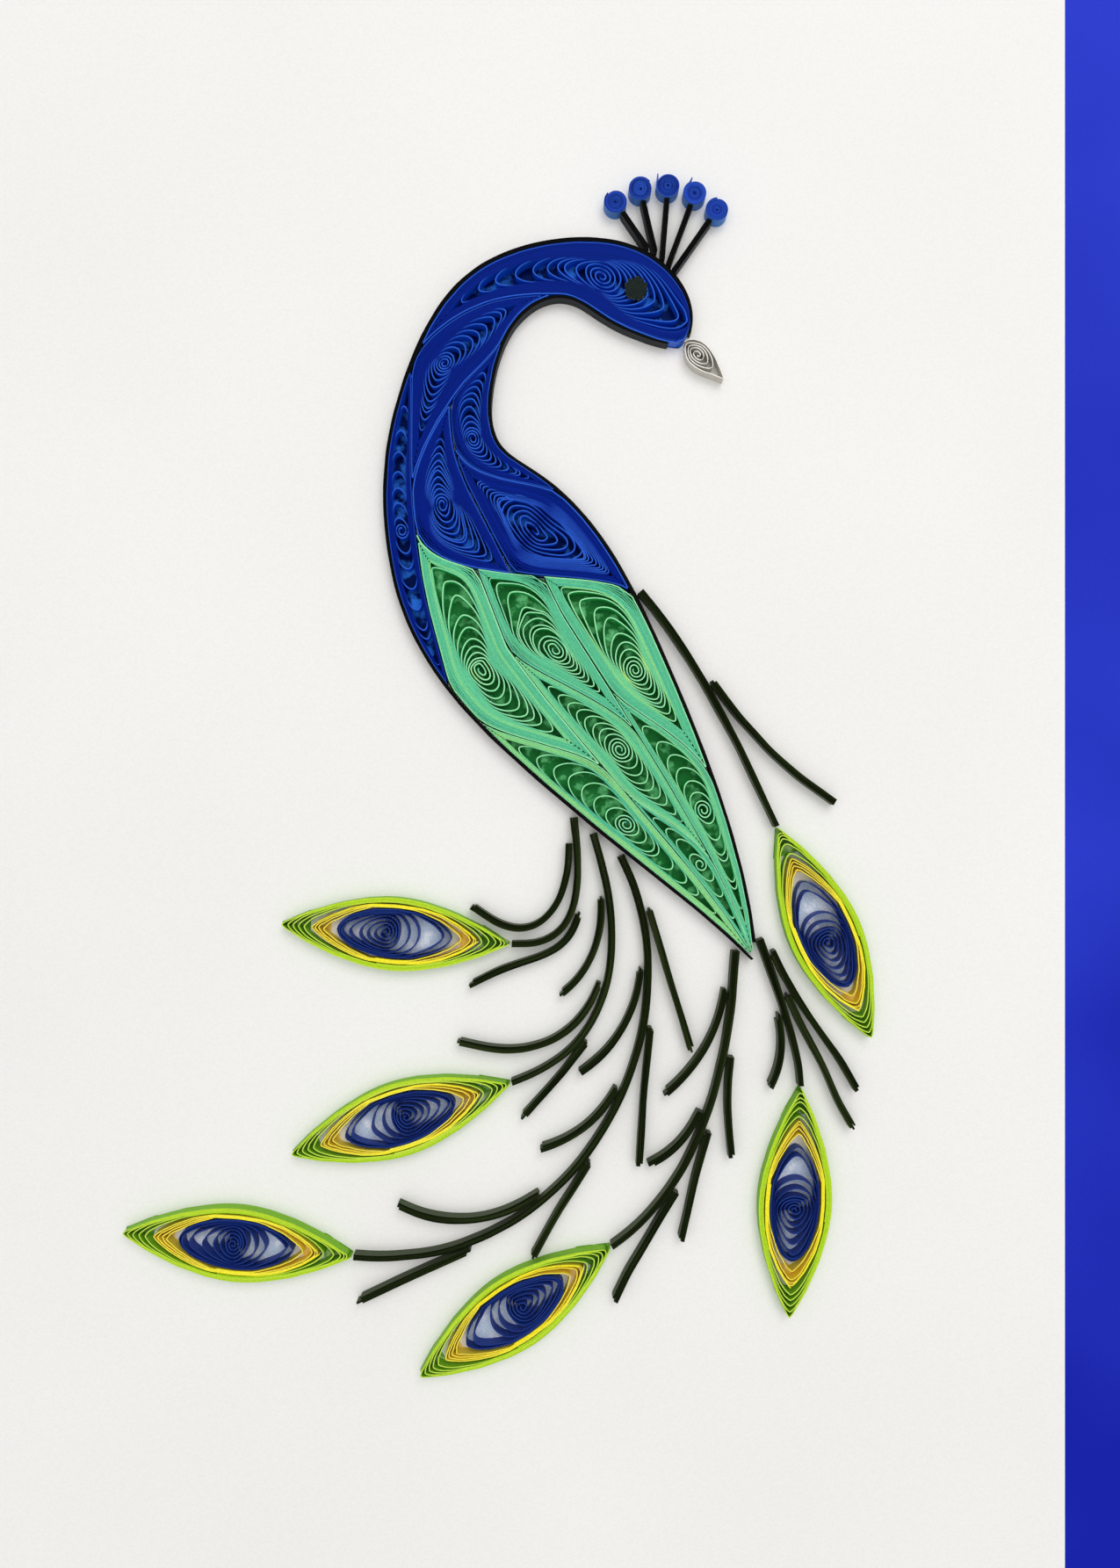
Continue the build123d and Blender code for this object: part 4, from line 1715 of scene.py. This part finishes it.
@dataclass
class Bird(PaperWork):
    """The peacock's body, head, beak and crest.

    Attributes:
        blue_coils: The blue coils of head, neck and breast.
        green_shifts: How much the paper of each green coil differs from the common tone.
        crest_coils: The round coils of the crest.
        loose_ends: Those of them whose strip ends loose.
        loose_tail: How far such an end stands off.
        edge_strips: The strips in each black edge.
        stem_strips: The strips in each stem of the crest.
        stem_stagger: How much shorter some strips of those stems are.
        stem_wave: How far they stray from their line.
    """

    finishes = (BLUE_PAPER, GREEN_PAPER, BLACK_PAPER, CREST_PAPER, BEAK_PAPER, PUPIL_PAPER)
    blue_coils: int = 6
    green_shifts: tuple[float, ...] = (0.02, 0.08, -0.04, -0.08, 0.05, 0.1, -0.05)
    crest_coils: int = 5
    loose_ends: tuple[int, ...] = (3, 4)
    loose_tail: float = 0.75 * MM
    edge_strips: int = 2
    stem_strips: int = 3
    stem_stagger: float = 0.6 * MM
    stem_wave: float = 0.04 * MM

    def build(self) -> None:
        """Wind the coils and lay the black strips."""
        self._body()
        self._head()
        for seed, side in enumerate(("belly", "back"), Seed.EDGE):
            self.make(StripBundle(f"edge_strip_{side}", BLACK_PAPER, self.edge_strips, seed))
        self._crest()

    def _body(self) -> None:
        """Wind the blue and the green coils, of which the first blue one is the head."""
        for index in range(1, self.blue_coils + 1):
            seed = Seed.BLUE + index
            name = f"blue_coil_{index}"
            coil = PinchedCoil(name, CoilKind.BLUE, BLUE_PAPER, seed, film=self.film)
            coil.round_end = index == 1
            self.make(coil)
        for index, shift in enumerate(self.green_shifts, 1):
            seed = Seed.GREEN + index
            name = f"green_coil_{index}"
            coil = PinchedCoil(name, CoilKind.GREEN, GREEN_PAPER, seed, film=self.film)
            coil.tone_shift = shift
            self.make(coil)

    def _head(self) -> None:
        """Wind the beak and lay the pupil on the head."""
        beak = PinchedCoil("beak_coil", CoilKind.BEAK, BEAK_PAPER, Seed.BEAK, squared=0.0)
        self.make(beak)
        self.make(Pupil())

    def _crest(self) -> None:
        """Wind the crest's coils and lay its stems."""
        for index in range(1, self.crest_coils + 1):
            coil = TightCoil(f"crest_coil_{index}", CREST_PAPER, Seed.CREST + index)
            coil.tail = self.loose_tail if index in self.loose_ends else 0.0
            self.make(coil)
        stems = StripBundle("crest_stems", BLACK_PAPER, self.stem_strips, Seed.CREST_STEMS)
        stems.stagger, stems.wave = self.stem_stagger, self.stem_wave
        self.make(stems)


@dataclass
class Tail(PaperWork):
    """The tail plumes, each with an eye of three coils, a stem and barbs.

    Attributes:
        plumes: The number of plumes.
        lime_turns: How many times the lime strip goes round an eye.
        lime_paper: The lime strip's thickness.
        yellow_turns: How many times the yellow strip goes round.
        yellow_paper: The yellow strip's thickness.
        strips: The strips in a stem or barb.
        stem_stagger: How much shorter some strips of a stem are.
        stem_wave: How far they stray from their line.
        barb_stagger: How much shorter some strips of a barb are.
        barb_wave: How far they stray from their line.
    """

    finishes = (LIME_PAPER, YELLOW_PAPER, NAVY_PAPER, STEM_PAPER)
    plumes: int = 6
    lime_turns: int = 5
    lime_paper: float = 0.2 * MM
    yellow_turns: int = 4
    yellow_paper: float = 0.18 * MM
    strips: int = 3
    stem_stagger: float = 0.4 * MM
    stem_wave: float = 0.05 * MM
    barb_stagger: float = 1.2 * MM
    barb_wave: float = 0.06 * MM

    def build(self) -> None:
        """Wind the eyes and lay the stems and barbs."""
        for index in range(1, self.plumes + 1):
            self._eye(f"plume_{index}", index)
            self._stem(f"plume_{index}", index)

    def _eye(self, plume: str, index: int) -> None:
        """Wind the three coils of one eye.

        Args:
            plume: The plume's name.
            index: Its number.
        """
        lime = RingCoil(
            node=f"{plume}_lime",
            finish=LIME_PAPER,
            turns=self.lime_turns,
            paper=self.lime_paper,
            seed=Seed.LIME + index,
        )
        yellow = RingCoil(
            node=f"{plume}_yellow",
            finish=YELLOW_PAPER,
            turns=self.yellow_turns,
            paper=self.yellow_paper,
            seed=Seed.YELLOW + index,
        )
        navy = PinchedCoil(
            node=f"{plume}_navy",
            kind=CoilKind.NAVY,
            finish=NAVY_PAPER,
            seed=Seed.NAVY + index,
            film=self.film,
        )
        for coil in (lime, yellow, navy):
            self.make(coil)

    def _stem(self, plume: str, index: int) -> None:
        """Lay one stem and its barbs.

        Args:
            plume: The plume's name.
            index: Its number.
        """
        stem = StripBundle(f"{plume}_stem", STEM_PAPER, self.strips, Seed.STEM + index)
        stem.stagger, stem.wave = self.stem_stagger, self.stem_wave
        self.make(stem)
        barbs = StripBundle(f"{plume}_barbs", STEM_PAPER, self.strips, Seed.BARBS + index)
        barbs.stagger, barbs.wave = self.barb_stagger, self.barb_wave
        self.make(barbs)


@dataclass
class Boards:
    """The white card and the blue mount board, which keep their solids.

    Attributes:
        card: The card's CAD node.
        board: The board's CAD node.
    """

    card: str = "white_card"
    board: str = "mount_board"

    def dress(self) -> None:
        """Give both boards their surfaces."""
        for node, finish in ((self.card, WHITE_CARD), (self.board, BLUE_BOARD)):
            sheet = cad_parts[node]
            material = finish.material()
            for holder in sheet.material_slots:
                holder.material = material
            log.info("%s: surfaced as %s", node, finish.name)


@dataclass
class Studio:
    """The floor, the soft light and the camera.

    Attributes:
        floor_side: Half the floor's width.
        floor_drop: How far the floor lies under the board.
        view_height: The camera's height over the card.
        view_side: How far the view's middle lies right of the card's.
        frame_height: The length that the picture frames from top to bottom.
        sensor: The height of the picture inside the camera, in millimetres.
        nearest: How close to the camera things may come.
        key_power: The softbox's power.
        key_place: The softbox's middle.
        key_size: The softbox's width.
        sky: How bright the room's own light is.
        walls_glow: How bright the room is from the floor's height up to straight overhead.
        backdrop: How pale the room looks.
    """

    floor_side: float = 1.6
    floor_drop: float = 0.1 * MM
    view_height: float = 248.0 * MM
    view_side: float = 11.4 * MM
    frame_height: float = 290.7 * MM
    sensor: float = 24.0
    nearest: float = 0.01
    key_power: float = 5.0
    key_place: tuple[float, float, float] = (0.3, 0.7, 1.2)
    key_size: float = 0.7
    sky: float = 1.89
    walls_glow: tuple[tuple[float, float], ...] = ((0.0, 0.1), (0.45, 0.2), (0.8, 0.38), (0.96, 1.0))
    backdrop: float = 0.8

    def build(self) -> None:
        """Set the whole studio up."""
        self._floor()
        self._softbox()
        self._room()
        self._camera()

    def _floor(self) -> None:
        """Lay a plain pale floor under the board."""
        side = self.floor_side
        mesh = bpy.data.meshes.new("floor")
        corners = [(-side, -side), (side, -side), (side, side), (-side, side)]
        mesh.from_pydata([(x, y, -self.floor_drop) for x, y in corners], [], [(0, 1, 2, 3)])
        mesh.materials.append(PALE_FLOOR.material())
        floor = bpy.data.objects.new("floor", mesh)
        bpy.context.scene.collection.objects.link(floor)

    def _softbox(self) -> None:
        """Hang a softbox past the picture's top."""
        lamp = bpy.data.lights.new("softbox", "AREA")
        lamp.energy = self.key_power
        lamp.size = self.key_size
        holder = bpy.data.objects.new("softbox", lamp)
        holder.location = self.key_place
        aim = -holder.location
        holder.rotation_euler = aim.to_track_quat("-Z", "Y").to_euler()
        bpy.context.scene.collection.objects.link(holder)

    def _room(self) -> None:
        """Light the room from overhead, with plain walls where it is looked at."""
        world = bpy.data.worlds.new("room")
        graph = Graph(world)
        height = graph.part(graph.add("ShaderNodeTexCoord").outputs["Generated"], "Z")
        stops = [(level, (shade, shade, shade, 1.0)) for level, shade in self.walls_glow]
        glow = graph.nodes["Background"]
        glow.inputs["Strength"].default_value = self.sky
        graph.join(graph.ramp(height, stops, interpolation="EASE"), glow.inputs["Color"])
        wall = graph.add("ShaderNodeBackground")
        wall.inputs["Color"].default_value = (self.backdrop, self.backdrop, self.backdrop, 1.0)
        blend = graph.add("ShaderNodeMixShader")
        graph.join(self._looks(graph), blend.inputs["Fac"])
        graph.join(glow.outputs["Background"], blend.inputs[1])
        graph.join(wall.outputs["Background"], blend.inputs[2])
        graph.join(blend.outputs["Shader"], graph.nodes["World Output"].inputs["Surface"])
        bpy.context.scene.world = world

    @staticmethod
    def _looks(graph: Graph) -> Socket:
        """Tell rays that look at the room from those that only gather its light.

        Args:
            graph: The room's nodes.

        Returns:
            1 for a ray that looks, else 0.
        """
        rays = graph.add("ShaderNodeLightPath")
        looks = rays.outputs["Is Camera Ray"]
        for kind in ("Is Glossy Ray", "Is Transmission Ray"):
            either = graph.add("ShaderNodeMath", operation="MAXIMUM")
            graph.join(looks, either.inputs[0])
            graph.join(rays.outputs[kind], either.inputs[1])
            looks = either.outputs[0]
        return looks

    def _camera(self) -> None:
        """Look straight down on the picture."""
        card_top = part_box("white_card")[1].z
        lens = bpy.data.cameras.new("view")
        lens.sensor_fit = "VERTICAL"
        lens.sensor_height = self.sensor
        lens.lens = self.sensor * self.view_height / self.frame_height
        lens.clip_start = self.nearest
        camera = bpy.data.objects.new("view", lens)
        camera.location = (self.view_side, 0.0, card_top + self.view_height)
        bpy.context.scene.collection.objects.link(camera)
        bpy.context.scene.camera = camera
        bpy.context.scene.view_settings.view_transform = "Standard"


def main() -> None:
    """Dress every part of the picture and set up its studio."""
    logging.basicConfig(level=logging.INFO, format="%(message)s")
    bird = Bird()
    bird.dress()
    bird.build()
    tail = Tail()
    tail.dress()
    tail.build()
    Boards().dress()
    Studio().build()


if __name__ == "__main__":
    main()
